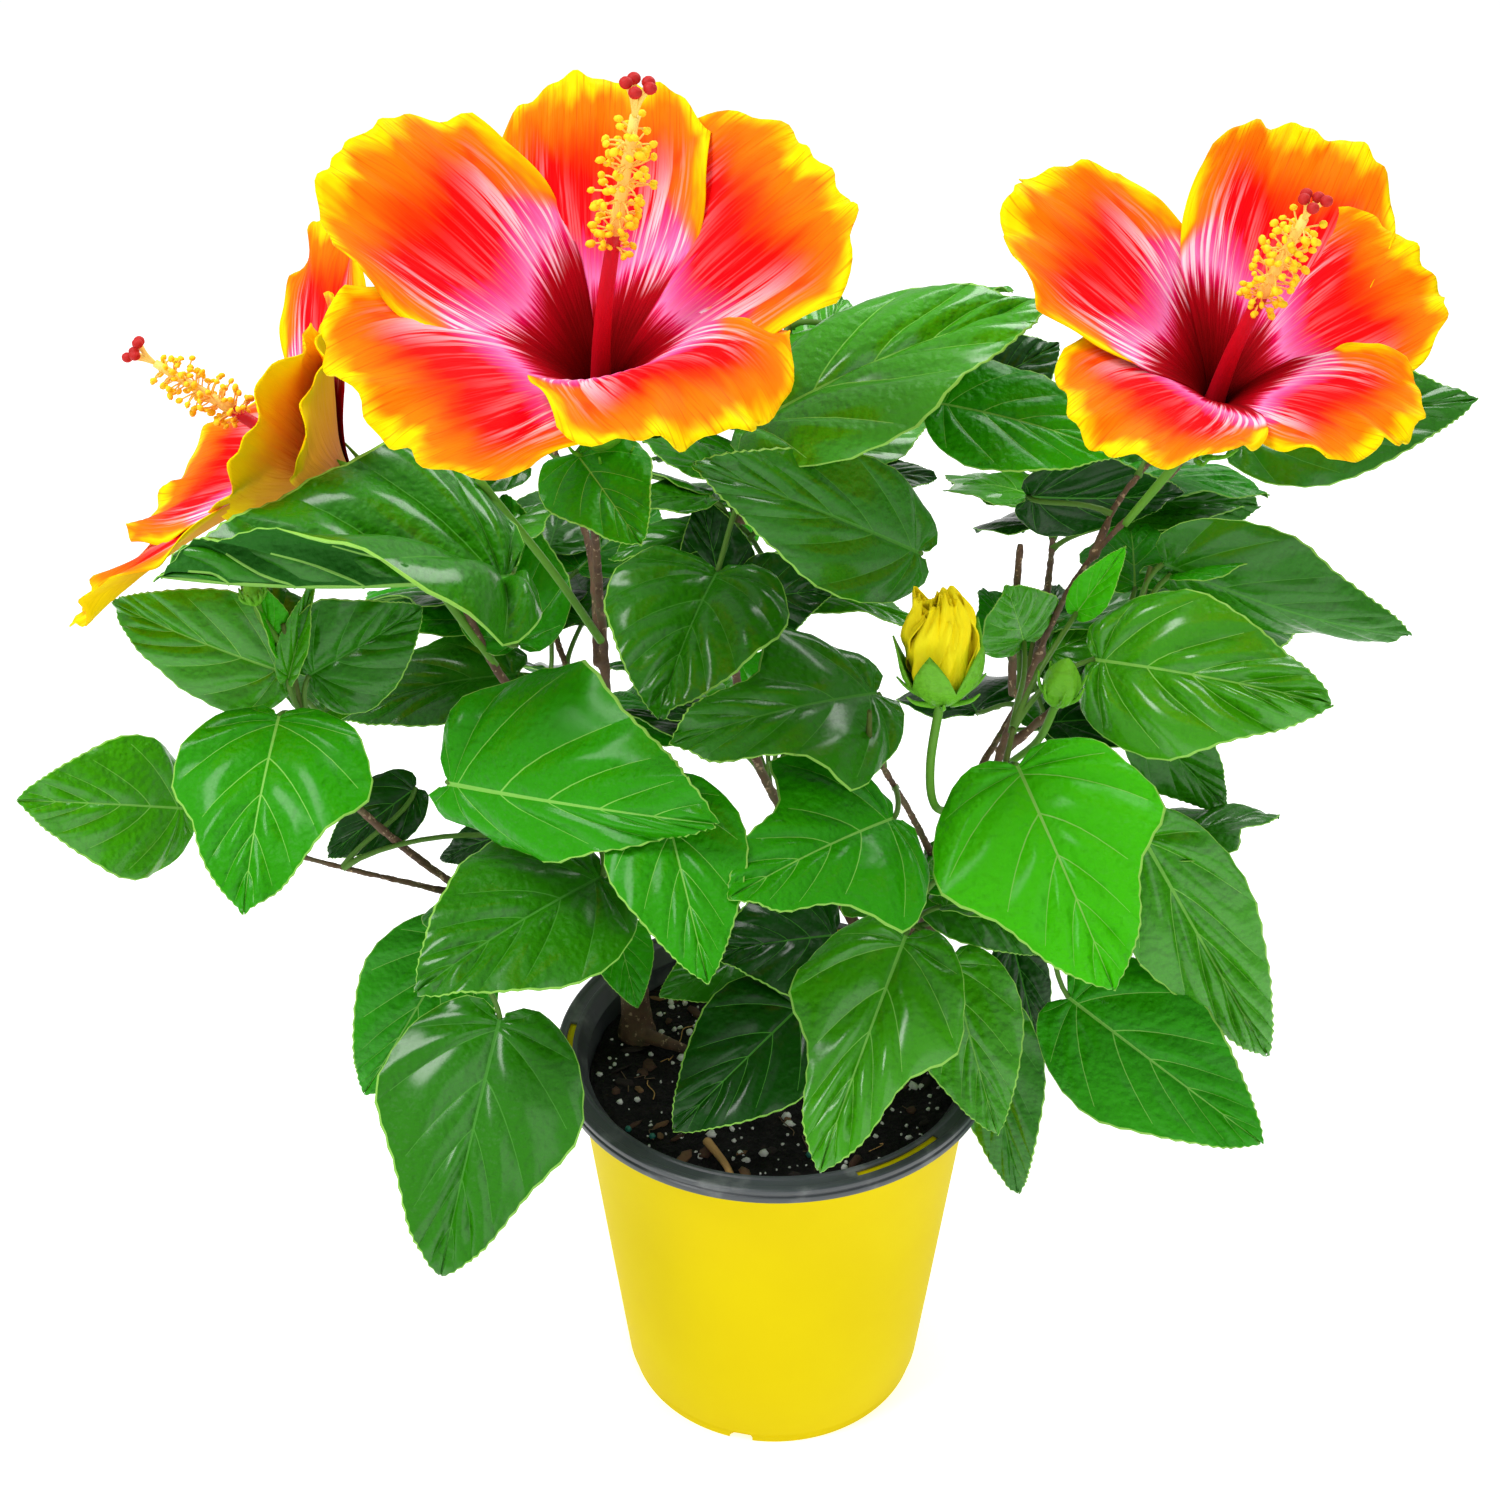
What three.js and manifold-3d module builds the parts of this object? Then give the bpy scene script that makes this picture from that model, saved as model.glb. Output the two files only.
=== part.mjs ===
// A tropical hibiscus shrub in flower, growing in a nursery pot that stands inside a plain yellow
// cover pot. Millimetres, +Z up. The origin is the centre of the cover pot's flat underside.
import * as THREE from "three";
import { mergeVertices } from "three/addons/utils/BufferGeometryUtils.js";
import Module from "manifold-3d";

const wasm = await Module();
wasm.setup();

// Clearance between pieces that touch.
const GAP = 0.35;

// Cover pot: a thin tapered cup with a flange round its mouth and an inset foot ring.
const POT_HEIGHT = 152;
const POT_TOP_RADIUS = 75.4;
const POT_BASE_RADIUS = 59;
const POT_WALL = 1.6;
const POT_FLOOR = 2.2;
const FLANGE_RADIUS = 79.2;
const FLANGE_THICK = 1.6;
const FOOT_RADIUS = 57.6;
const FOOT_HEIGHT = 4.5;
const FOOT_THICK = 4;
const NOTCH_WIDTH = 9;
const NOTCH_HEIGHT = 3.4;
const NOTCH_DEPTH = 2.4;
const NOTCH_FIRST_ANGLE = -103;
const NOTCH_COUNT = 3;

// Nursery pot: its ledge and lip close over the cover pot's flange.
const RIM_RADIUS = 82;
const RIM_HEIGHT = 5.6;
const LIP_THICK = 2;
const LEDGE_THICK = 1.5;
const MOUTH_RADIUS = 74.6;
const LINER_WALL = 1.4;
const SLOT_RADIUS = 77.4;
const SLOT_WIDTH = 2.6;
const SLOT_SWEEP = 26;
const SLOT_FIRST_ANGLE = -56;
const SLOT_COUNT = 3;

// Potting mix: its surface is the plant's ground level.
const SOIL_TOP = 138;

const material = (colour, roughness) =>
  new THREE.MeshStandardMaterial({ color: colour, roughness, metalness: 0 });
const YELLOW_PLASTIC = material(0xefdc00, 0.42);
const GREY_PLASTIC = material(0x33383b, 0.5);
const POTTING_MIX = material(0x1d1815, 0.95);
const BARK = material(0x7a5c44, 0.85);
const LEAF = material(0x2f8a12, 0.35);
const PETAL = material(0xf06a1c, 0.6);

const radians = THREE.MathUtils.degToRad;
const point = (list) => new THREE.Vector3(...list);

// ---- Solids -----------------------------------------------------------------------------

function solidOf(geometry) {
  const plain = geometry.clone();
  plain.deleteAttribute("normal");
  plain.deleteAttribute("uv");
  const merged = mergeVertices(plain, 1e-4);
  return new wasm.Manifold(
    new wasm.Mesh({
      numProp: 3,
      vertProperties: new Float32Array(merged.attributes.position.array),
      triVerts: new Uint32Array(merged.index.array),
    }),
  );
}

function geometryOf(solid) {
  const { vertProperties, triVerts } = solid.getMesh();
  const geometry = new THREE.BufferGeometry();
  geometry.setAttribute("position", new THREE.BufferAttribute(vertProperties, 3));
  geometry.setIndex(new THREE.BufferAttribute(triVerts, 1));
  geometry.computeVertexNormals();
  return geometry;
}

// The largest of the bodies that a cut leaves.
function largestBody(solid) {
  return solid.decompose().reduce((a, b) => (a.volume() > b.volume() ? a : b));
}

function joined(solids) {
  return solids.reduce((a, b) => a.add(b));
}

function cutBy(solid, others) {
  return others.reduce((rest, other) => rest.subtract(other), solid);
}

const plant = new THREE.Group();

function addMesh(name, solid, look) {
  const mesh = new THREE.Mesh(geometryOf(solid), look);
  mesh.name = name;
  plant.add(mesh);
}

// A solid turned round the pot's axis from a profile of [radius, height] points.
function turned(profile, segments = 30) {
  const points = profile.map(([radius, height]) => new THREE.Vector2(radius, height));
  points.push(points[0].clone());
  return solidOf(new THREE.LatheGeometry(points, segments).rotateX(Math.PI / 2));
}

// A block with its middle at a radius and angle round the pot, its depth along the radius.
function blockAt(depth, width, height, radius, degrees, middleHeight) {
  const box = new THREE.BoxGeometry(depth, width, height);
  box.translate(radius, 0, middleHeight);
  return solidOf(box.rotateZ(radians(degrees)));
}

// ---- Cover pot, nursery pot and potting mix ----------------------------------------------

// Outer radius of the cover pot's wall at a height.
function wallRadius(height) {
  const share = (height - FOOT_HEIGHT) / (POT_HEIGHT - FOOT_HEIGHT);
  return POT_BASE_RADIUS + (POT_TOP_RADIUS - POT_BASE_RADIUS) * share;
}

const ledgeUnderside = POT_HEIGHT - LEDGE_THICK;
const flangeTop = ledgeUnderside - GAP;
const flangeUnderside = flangeTop - FLANGE_THICK;

function coverPot() {
  const cup = turned([
    [0, 0],
    [FOOT_RADIUS, 0],
    [FOOT_RADIUS, FOOT_HEIGHT],
    [POT_BASE_RADIUS, FOOT_HEIGHT + 0.6],
    [wallRadius(flangeUnderside), flangeUnderside],
    [FLANGE_RADIUS, flangeUnderside],
    [FLANGE_RADIUS, flangeTop],
    [wallRadius(flangeTop) - POT_WALL, flangeTop],
    [POT_BASE_RADIUS - POT_WALL, FOOT_HEIGHT + 0.6],
    [FOOT_RADIUS - FOOT_THICK, FOOT_HEIGHT],
    [FOOT_RADIUS - FOOT_THICK, POT_FLOOR],
    [0, POT_FLOOR],
  ]);
  const notches = [];
  for (let i = 0; i < NOTCH_COUNT; i++) {
    const angle = NOTCH_FIRST_ANGLE + (360 / NOTCH_COUNT) * i;
    notches.push(
      blockAt(2 * NOTCH_DEPTH, NOTCH_WIDTH, 2 * NOTCH_HEIGHT, FOOT_RADIUS, angle, 0),
    );
  }
  return cutBy(cup, notches);
}

const linerOuter = (height) => wallRadius(height) - POT_WALL - GAP;
const linerFloor = FOOT_HEIGHT + 1;
const linerFloorTop = linerFloor + LINER_WALL;

// A curved slot through the ledge, following the rim.
function rimSlot(degrees) {
  const shape = new THREE.Shape();
  const half = radians(SLOT_SWEEP / 2);
  shape.absarc(0, 0, SLOT_RADIUS + SLOT_WIDTH / 2, -half, half, false);
  shape.absarc(0, 0, SLOT_RADIUS - SLOT_WIDTH / 2, half, -half, true);
  const slot = new THREE.ExtrudeGeometry(shape, {
    depth: 4 * LEDGE_THICK,
    bevelEnabled: false,
    curveSegments: 2,
  });
  slot.translate(0, 0, POT_HEIGHT - 2 * LEDGE_THICK);
  return solidOf(slot.rotateZ(radians(degrees)));
}

function nurseryPot() {
  const cup = turned([
    [0, linerFloor],
    [linerOuter(linerFloor) - 2, linerFloor],
    [linerOuter(flangeTop), flangeTop],
    [linerOuter(ledgeUnderside), ledgeUnderside],
    [RIM_RADIUS - LIP_THICK, ledgeUnderside],
    [RIM_RADIUS - LIP_THICK, POT_HEIGHT - RIM_HEIGHT],
    [RIM_RADIUS, POT_HEIGHT - RIM_HEIGHT],
    [RIM_RADIUS, POT_HEIGHT - 0.8],
    [RIM_RADIUS - 0.8, POT_HEIGHT],
    [MOUTH_RADIUS, POT_HEIGHT],
    [linerOuter(POT_HEIGHT - 4) - LINER_WALL, POT_HEIGHT - 4],
    [linerOuter(linerFloor) - 2 - LINER_WALL, linerFloorTop],
    [0, linerFloorTop],
  ]);
  const slots = [];
  for (let i = 0; i < SLOT_COUNT; i++) {
    slots.push(rimSlot(SLOT_FIRST_ANGLE + (360 / SLOT_COUNT) * i));
  }
  return cutBy(cup, slots);
}

function pottingMix() {
  const inset = LINER_WALL + GAP;
  return turned([
    [0, linerFloorTop + GAP],
    [linerOuter(linerFloor) - 2 - inset, linerFloorTop + GAP],
    [linerOuter(SOIL_TOP) - inset - 0.4, SOIL_TOP],
    [0, SOIL_TOP],
  ]);
}

addMesh("cover_pot", coverPot(), YELLOW_PLASTIC);
addMesh("nursery_pot", nurseryPot(), GREY_PLASTIC);
addMesh("potting_mix", pottingMix(), POTTING_MIX);

// What the plant keeps clear of: the filled pots, and the ground plane of its own stems.
const potSpace = turned(
  [
    [0, 1],
    [FOOT_RADIUS, 1],
    [POT_TOP_RADIUS + 1, POT_HEIGHT - RIM_HEIGHT - 1],
    [RIM_RADIUS + 1, POT_HEIGHT - RIM_HEIGHT - 1],
    [RIM_RADIUS + 1, POT_HEIGHT + 1],
    [MOUTH_RADIUS - 4, POT_HEIGHT + 1],
    [MOUTH_RADIUS - 5, SOIL_TOP + GAP],
    [0, SOIL_TOP + GAP],
  ],
  24,
);

// ---- Limbs --------------------------------------------------------------------------------

// A tapering limb: a cylinder laid along a smooth curve, thicker by `flare` near its foot.
function limb({ path, foot, tip, flare = 0, sides = 6, steps = 5 }, grow = 0) {
  const curve = new THREE.CatmullRomCurve3(path.map(point));
  const frames = curve.computeFrenetFrames(steps);
  const tube = new THREE.CylinderGeometry(1, 1, 1, sides, steps);
  const at = tube.attributes.position;
  for (let i = 0; i < at.count; i++) {
    const step = Math.round((at.getY(i) + 0.5) * steps);
    const share = step / steps;
    const spread = flare * Math.exp(-share * 9);
    const radius = foot + (tip - foot) * share + spread + grow;
    const place = curve
      .getPointAt(share)
      .addScaledVector(frames.binormals[step], at.getX(i) * radius)
      .addScaledVector(frames.normals[step], at.getZ(i) * radius);
    at.setXYZ(i, place.x, place.y, place.z);
  }
  return solidOf(tube);
}

// Two woody stems rise from the potting mix.
const STEM_FOOT = SOIL_TOP - 6;
const TRUNKS = {
  trunk_left: {
    path: [[-53, 22, STEM_FOOT], [-54, 19, 165], [-59, 12, 210], [-60, 9, 262]],
    foot: 7.2,
    tip: 4.4,
    flare: 3.6,
    sides: 9,
  },
  trunk_right: {
    path: [[33, 32, STEM_FOOT], [42, 24, 164], [57, 11, 198], [65, 5, 232]],
    foot: 7,
    tip: 4.4,
    flare: 4,
    sides: 9,
  },
};

// Boughs, each from the limb that carries it to the middle of its foliage or to its bloom.
const BOUGHS = {
  bough_left: {
    path: [[-57, 12, 192], [-90, 4, 207], [-114, 0, 222], [-147, -10, 265], [-158, -18, 300]],
    foot: 3.6,
    tip: 2.2,
  },
  bough_far_left: {
    path: [[-106, 1, 216], [-132, -4, 227], [-160, -9, 239], [-186, -12, 251]],
    foot: 2.4,
    tip: 1.7,
  },
  bough_upper_left: {
    path: [[-60, 10, 250], [-82, 18, 278], [-97, 20, 299], [-106, 17, 324], [-112, 8, 352]],
    foot: 3.4,
    tip: 2.4,
  },
  bough_centre: {
    path: [[-60, 9, 258], [-59, 10, 300], [-60, 8, 340], [-59, -14, 380], [-53, -51, 418]],
    foot: 3.8,
    tip: 2.2,
  },
  bough_front_left: {
    path: [[-54, 13, 178], [-68, -12, 206], [-84, -40, 224], [-96, -56, 224]],
    foot: 3.2,
    tip: 2,
  },
  bough_middle_left: {
    path: [[-60, 9, 240], [-66, -18, 266], [-75, -44, 302]],
    foot: 3.2,
    tip: 2.2,
  },
  bough_middle: {
    path: [[42, 23, 168], [18, 30, 208], [-6, 31, 254], [-15, 30, 300], [-14, 24, 352]],
    foot: 3.8,
    tip: 2.6,
  },
  bough_right: {
    path: [[65, 5, 228], [74, 0, 262], [80, 0, 290], [98, 0, 345], [131, -7, 398]],
    foot: 4,
    tip: 2.4,
  },
  bough_top: {
    path: [[-12, 16, 358], [-6, 18, 384], [0, 18, 404]],
    foot: 2.4,
    tip: 1.9,
  },
  bough_top_right: {
    path: [[103, -1, 354], [112, 12, 368], [126, 24, 380]],
    foot: 2.4,
    tip: 1.9,
  },
  bough_inner: {
    path: [[62, 6, 218], [48, -18, 260], [29, -48, 310]],
    foot: 2.8,
    tip: 2,
  },
  bough_front: {
    path: [[52, 15, 188], [48, -12, 214], [46, -36, 234]],
    foot: 3,
    tip: 2.2,
  },
  bough_front_right: {
    path: [[66, 4, 226], [70, -22, 262], [72, -46, 296]],
    foot: 3,
    tip: 2.2,
  },
  bough_low_right: {
    path: [[59, 10, 204], [82, -4, 214], [104, -16, 226]],
    foot: 3,
    tip: 2.2,
  },
  bough_far_right: {
    path: [[77, 0, 278], [98, 0, 300], [120, 6, 324]],
    foot: 3,
    tip: 2.2,
  },
  bough_back_left: {
    path: [[-59, 11, 214], [-66, 48, 246], [-86, 88, 286]],
    foot: 3.4,
    tip: 2.4,
  },
  bough_back_right: {
    path: [[48, 19, 178], [68, 54, 216], [96, 84, 254]],
    foot: 3.4,
    tip: 2.4,
  },
  bough_back: {
    path: [[-9, 31, 262], [0, 66, 300], [6, 94, 332]],
    foot: 2.8,
    tip: 2.2,
  },
  bough_back_low: {
    path: [[21, 29, 204], [4, 52, 222], [-10, 74, 234]],
    foot: 2.6,
    tip: 2,
  },
  bough_back_upper_left: {
    path: [[-61, 9, 308], [-66, 44, 338], [-82, 80, 364]],
    foot: 2.8,
    tip: 2.2,
  },
  bough_back_upper_right: {
    path: [[88, 0, 316], [96, 44, 322], [103, 86, 328]],
    foot: 2.8,
    tip: 2.2,
  },
};

// ---- Blooms and bud -----------------------------------------------------------------------

// Five-petalled funnel: a thin shell spun round `axis` from the throat, with the stamen column.
const PETAL_COUNT = 5;
const PETAL_NOTCH = 0.08;
const SHELL_THICK = 3;
const COLUMN_RADIUS = 3;
const CALYX_LENGTH = 26;
const CALYX_RADIUS = 7;
const BLOOMS = {
  bloom_centre: {
    throat: [-52, -60, 436],
    axis: [0.02, -0.43, 0.9],
    stigma: [-37, -93, 529],
    radius: 81,
    depth: 38,
    turn: 18,
  },
  bloom_right: {
    throat: [132, -20, 418],
    axis: [0.04, -0.5, 0.87],
    stigma: [148, -58, 490],
    radius: 69,
    depth: 34,
    turn: 22,
  },
  bloom_left: {
    throat: [-136, 0, 376],
    axis: [-0.75, -0.08, 0.66],
    stigma: [-203, 5, 428],
    radius: 83,
    depth: 34,
    turn: 50,
  },
};

// Radius and height of the bloom's face at a share of the way out along a petal.
function petalPlace(bloom, share, angle) {
  const notch = PETAL_NOTCH * share * share * (1 - Math.cos(PETAL_COUNT * angle));
  return {
    radius: 5 + (bloom.radius - 5) * share * (1 - notch),
    height: bloom.depth * Math.sqrt(share),
  };
}

function bloomShell(bloom, grow) {
  const spokes = 20;
  const positions = [];
  const indices = [];
  const half = SHELL_THICK / 2 + grow;
  // Rings run up the inner face and down the outer one, so that the shell closes on itself.
  const shares = [0, 0.2, 0.55, 1];
  const loop = [
    ...shares.map((share) => [share, half]),
    ...shares.toReversed().map((share) => [share, -half]),
  ];
  loop.forEach(([share, lift]) => {
    for (let j = 0; j < spokes; j++) {
      const angle = (2 * Math.PI * j) / spokes;
      const { radius, height } = petalPlace(bloom, share, angle);
      const reach = radius + (share === 1 ? grow : 0);
      positions.push(reach * Math.cos(angle), reach * Math.sin(angle), height + lift);
    }
  });
  const inside = positions.length / 3;
  positions.push(0, 0, half, 0, 0, -half);
  for (let i = 0; i < loop.length - 1; i++) {
    for (let j = 0; j < spokes; j++) {
      const a = i * spokes + j;
      const b = i * spokes + ((j + 1) % spokes);
      indices.push(a, b + spokes, b, a, a + spokes, b + spokes);
    }
  }
  const last = (loop.length - 1) * spokes;
  for (let j = 0; j < spokes; j++) {
    const next = (j + 1) % spokes;
    indices.push(inside, j, next, inside + 1, last + next, last + j);
  }
  const shell = new THREE.BufferGeometry();
  shell.setAttribute("position", new THREE.Float32BufferAttribute(positions, 3));
  shell.setIndex(indices);
  return shell;
}

function bloomSolid(bloom, grow = 0) {
  const turnTo = new THREE.Quaternion().setFromUnitVectors(
    new THREE.Vector3(0, 0, 1),
    point(bloom.axis).normalize(),
  );
  const place = new THREE.Matrix4().compose(
    point(bloom.throat),
    turnTo,
    new THREE.Vector3(1, 1, 1),
  );
  const calyx = new THREE.CylinderGeometry(
    CALYX_RADIUS + grow,
    CALYX_RADIUS / 2 + grow,
    CALYX_LENGTH + grow,
    8,
  );
  calyx.rotateX(Math.PI / 2).translate(0, 0, -CALYX_LENGTH / 2 + 2);
  const shell = bloomShell(bloom, grow).rotateZ(radians(bloom.turn));
  const column = {
    path: [bloom.throat, bloom.stigma],
    foot: COLUMN_RADIUS,
    tip: COLUMN_RADIUS,
    steps: 1,
  };
  return joined([
    solidOf(shell.applyMatrix4(place)),
    solidOf(calyx.applyMatrix4(place)),
    limb(column, grow),
  ]);
}

// The opening flower bud on its own green stalk, above the front of the crown.
const BUD = {
  middle: [48, -68, 356],
  radius: 11.5,
  length: 38,
  stalk: { path: [[68, -50, 298], [52, -60, 306], [48, -66, 342]], foot: 1.8, tip: 1.8 },
};

function budSolid(grow = 0) {
  const body = new THREE.SphereGeometry(1, 10, 8).rotateX(Math.PI / 2);
  body.scale(BUD.radius + grow, BUD.radius + grow, BUD.length / 2 + grow);
  body.translate(...BUD.middle);
  return solidOf(body).add(limb(BUD.stalk, grow));
}

// ---- Foliage ------------------------------------------------------------------------------

// A foliage mass is a fan of flat, arched pads, one for each group of leaves, that grow out of
// its heart. Each pad runs from the heart to the point where its furthest leaf ends.
const PAD_WIDTH_SHARE = 0.66;
const PAD_WIDEST = 64;
const PAD_THICK = 12;
const PAD_ARCH_SHARE = 0.1;
const HEART_RADIUS = 15;
const FOLIAGE = {
  foliage_left: {
    heart: [-160, -16, 306],
    tips: [[-174, -74, 258], [-220, -12, 338], [-114, -24, 338], [-172, 44, 318]],
  },
  foliage_far_left: {
    heart: [-186, -12, 252],
    tips: [[-257, -24, 272], [-222, 50, 246], [-150, 34, 254]],
  },
  foliage_upper_left: {
    heart: [-112, 2, 360],
    tips: [[-188, -56, 372], [-92, 52, 380], [-84, -50, 364], [-148, 70, 356]],
  },
  foliage_middle_left: {
    heart: [-76, -46, 306],
    tips: [[-16, -98, 314], [-88, -100, 338], [-118, -88, 246], [-22, -114, 268]],
  },
  foliage_front_left: {
    heart: [-96, -56, 226],
    tips: [[-113, -104, 130], [-146, -38, 160], [-134, 6, 172]],
  },
  foliage_middle: {
    heart: [-12, 10, 356],
    tips: [[44, -40, 366], [-36, -46, 322], [34, 30, 334], [-56, 40, 376]],
  },
  foliage_inner: {
    heart: [28, -50, 312],
    tips: [[-36, -86, 326], [-14, -114, 292], [2, -16, 340]],
  },
  foliage_front: {
    heart: [46, -42, 240],
    tips: [[-34, -62, 164], [12, -112, 186], [78, -74, 156], [88, -32, 110]],
  },
  foliage_front_right: {
    heart: [74, -52, 306],
    tips: [[106, -104, 250], [56, -98, 272], [92, -50, 334]],
  },
  foliage_low_right: {
    heart: [112, -16, 236],
    tips: [[174, -52, 146], [180, -18, 172], [158, 46, 196]],
  },
  foliage_right: {
    heart: [118, 4, 334],
    tips: [[176, -44, 320], [214, 8, 326], [166, 24, 246], [170, 74, 330]],
  },
  foliage_top: {
    heart: [0, 18, 408],
    tips: [[78, 4, 424], [44, 40, 438], [114, 20, 382], [-30, 78, 424]],
  },
  foliage_top_right: {
    heart: [130, 26, 384],
    tips: [[228, 22, 396], [200, 88, 388], [120, 102, 396]],
  },
  foliage_back_left: {
    heart: [-88, 92, 290],
    tips: [[-132, 142, 264], [-72, 170, 290], [-166, 96, 302], [-50, 116, 240]],
  },
  foliage_back_right: {
    heart: [98, 88, 258],
    tips: [[160, 122, 224], [90, 166, 246], [172, 78, 272], [58, 126, 206]],
  },
  foliage_back: {
    heart: [6, 96, 336],
    tips: [[-44, 152, 350], [58, 152, 346], [6, 172, 306], [14, 130, 404]],
  },
  foliage_back_low: {
    heart: [-12, 78, 236],
    tips: [[-60, 132, 186], [26, 146, 210], [-16, 150, 262]],
  },
  foliage_back_upper_left: {
    heart: [-84, 84, 368],
    tips: [[-140, 130, 376], [-66, 158, 396], [-36, 118, 424]],
  },
  foliage_back_upper_right: {
    heart: [104, 92, 330],
    tips: [[162, 142, 318], [92, 172, 344], [178, 92, 292]],
  },
};

// One pad: a flattened ball with an ovate outline, arched along its length. The ball's radius
// brings its two widest rings, above and below its middle, out to 1.
function leafPad(heart, tip, grow) {
  const from = point(heart);
  const along = point(tip).sub(from);
  const length = along.length();
  along.normalize();
  const outward = new THREE.Vector3(along.x, along.y, 0).normalize();
  const side = new THREE.Vector3(outward.y, -outward.x, 0);
  const up = new THREE.Vector3().crossVectors(side, along);
  const width = Math.min(PAD_WIDTH_SHARE * length, PAD_WIDEST) / 2 + grow;
  const pad = new THREE.SphereGeometry(2 / Math.sqrt(3), 8, 3);
  const at = pad.attributes.position;
  for (let i = 0; i < at.count; i++) {
    const run = at.getX(i);
    const ovate = 1 - 0.3 * run;
    const place = from
      .clone()
      .addScaledVector(along, (length * (1 + run)) / 2 + grow * run)
      .addScaledVector(side, at.getZ(i) * width * ovate)
      .addScaledVector(up, at.getY(i) * (PAD_THICK / 2 + grow))
      .addScaledVector(up, length * PAD_ARCH_SHARE * (1 - run * run));
    at.setXYZ(i, place.x, place.y, place.z);
  }
  return solidOf(pad);
}

function foliageSolid({ heart, tips }, grow = 0) {
  const core = new THREE.IcosahedronGeometry(HEART_RADIUS + grow, 0).translate(...heart);
  return joined([solidOf(core), ...tips.map((tip) => leafPad(heart, tip, grow))]);
}

// ---- Putting the plant together -----------------------------------------------------------

// Trunks stand on the potting mix, cut flat at ground level.
const trunkSolids = {};
const trunkSpaces = [];
for (const [name, spec] of Object.entries(TRUNKS)) {
  trunkSolids[name] = largestBody(limb(spec).subtract(potSpace));
  trunkSpaces.push(limb(spec, GAP));
  addMesh(name, trunkSolids[name], BARK);
}

const flowerSpaces = [];
for (const [name, spec] of Object.entries(BLOOMS)) {
  addMesh(name, bloomSolid(spec), PETAL);
  flowerSpaces.push(bloomSolid(spec, GAP));
}

// Foliage keeps clear of the pots, trunks and blooms, and each mass of those before it.
const massSpaces = [];
for (const [name, spec] of Object.entries(FOLIAGE)) {
  const mass = cutBy(foliageSolid(spec), [
    potSpace,
    ...trunkSpaces,
    ...flowerSpaces,
    ...massSpaces,
  ]);
  addMesh(name, largestBody(mass), LEAF);
  massSpaces.push(foliageSolid(spec, GAP));
}

addMesh("opening_bud", largestBody(cutBy(budSolid(), massSpaces)), PETAL);
flowerSpaces.push(budSolid(GAP));

// Each bough is seated on the limbs before it and ends where it enters a mass or a bloom.
const limbSpaces = [...trunkSpaces];
for (const [name, spec] of Object.entries(BOUGHS)) {
  const bough = cutBy(limb(spec), [...limbSpaces, ...flowerSpaces, ...massSpaces]);
  addMesh(name, largestBody(bough), BARK);
  limbSpaces.push(limb(spec, GAP));
}

export default plant;
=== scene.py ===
from math import cos, pi, radians, sin, sqrt

import bpy
import numpy as np
from mathutils import Matrix, Vector, noise


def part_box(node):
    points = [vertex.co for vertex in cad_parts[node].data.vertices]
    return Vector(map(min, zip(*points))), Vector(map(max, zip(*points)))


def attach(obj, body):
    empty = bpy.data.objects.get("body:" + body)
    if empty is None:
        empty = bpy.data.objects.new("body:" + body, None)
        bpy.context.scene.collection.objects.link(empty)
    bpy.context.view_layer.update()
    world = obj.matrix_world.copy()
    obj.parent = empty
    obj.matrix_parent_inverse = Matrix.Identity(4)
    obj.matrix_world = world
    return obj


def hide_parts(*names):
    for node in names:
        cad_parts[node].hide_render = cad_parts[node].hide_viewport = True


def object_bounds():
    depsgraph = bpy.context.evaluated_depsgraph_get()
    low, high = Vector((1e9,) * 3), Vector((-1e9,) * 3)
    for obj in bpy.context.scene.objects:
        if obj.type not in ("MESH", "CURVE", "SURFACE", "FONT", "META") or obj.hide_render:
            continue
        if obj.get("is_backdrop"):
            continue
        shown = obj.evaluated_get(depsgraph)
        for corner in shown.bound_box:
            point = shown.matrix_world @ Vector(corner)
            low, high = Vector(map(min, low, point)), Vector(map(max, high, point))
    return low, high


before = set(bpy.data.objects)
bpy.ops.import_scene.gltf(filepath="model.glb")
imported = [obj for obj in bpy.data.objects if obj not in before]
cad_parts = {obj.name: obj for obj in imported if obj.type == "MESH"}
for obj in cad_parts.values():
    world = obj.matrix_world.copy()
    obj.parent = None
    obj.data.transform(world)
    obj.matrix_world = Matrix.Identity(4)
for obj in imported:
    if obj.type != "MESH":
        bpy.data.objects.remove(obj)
cad_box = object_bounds()

# ---- Camera, light and floor ----------------------------------------------------------
# The shrub stands on a plain white floor in soft white light, and the camera looks down on
# it from in front, a little above the blooms.

MM = 0.001
CAMERA_BEFORE_POT = Vector((-0.0094, -0.634, 0.506))
CAMERA_LOOKS_DOWN = 30.83
CAMERA_LENS = 51.24
SKY_LIGHT = 0.42
FLOOR_GREY = 0.86
FLOOR_GLOW = 0.58
FLOOR_DROP = 0.0002

pot_low, pot_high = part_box("cover_pot")
rim_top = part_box("nursery_pot")[1].z
rim_middle = Vector(((pot_low.x + pot_high.x) / 2, (pot_low.y + pot_high.y) / 2, rim_top))
bpy.ops.object.camera_add(
    location=rim_middle + CAMERA_BEFORE_POT,
    rotation=(radians(90 - CAMERA_LOOKS_DOWN), 0, 0),
)
camera = bpy.context.object
camera.data.lens = CAMERA_LENS
camera.data.clip_start = 0.02
bpy.context.scene.camera = camera


def linear(red, green, blue):
    """A screen colour, 0 to 255, as the linear colour that a shader takes."""
    return tuple((part / 255) ** 2.2 for part in (red, green, blue)) + (1.0,)


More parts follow.
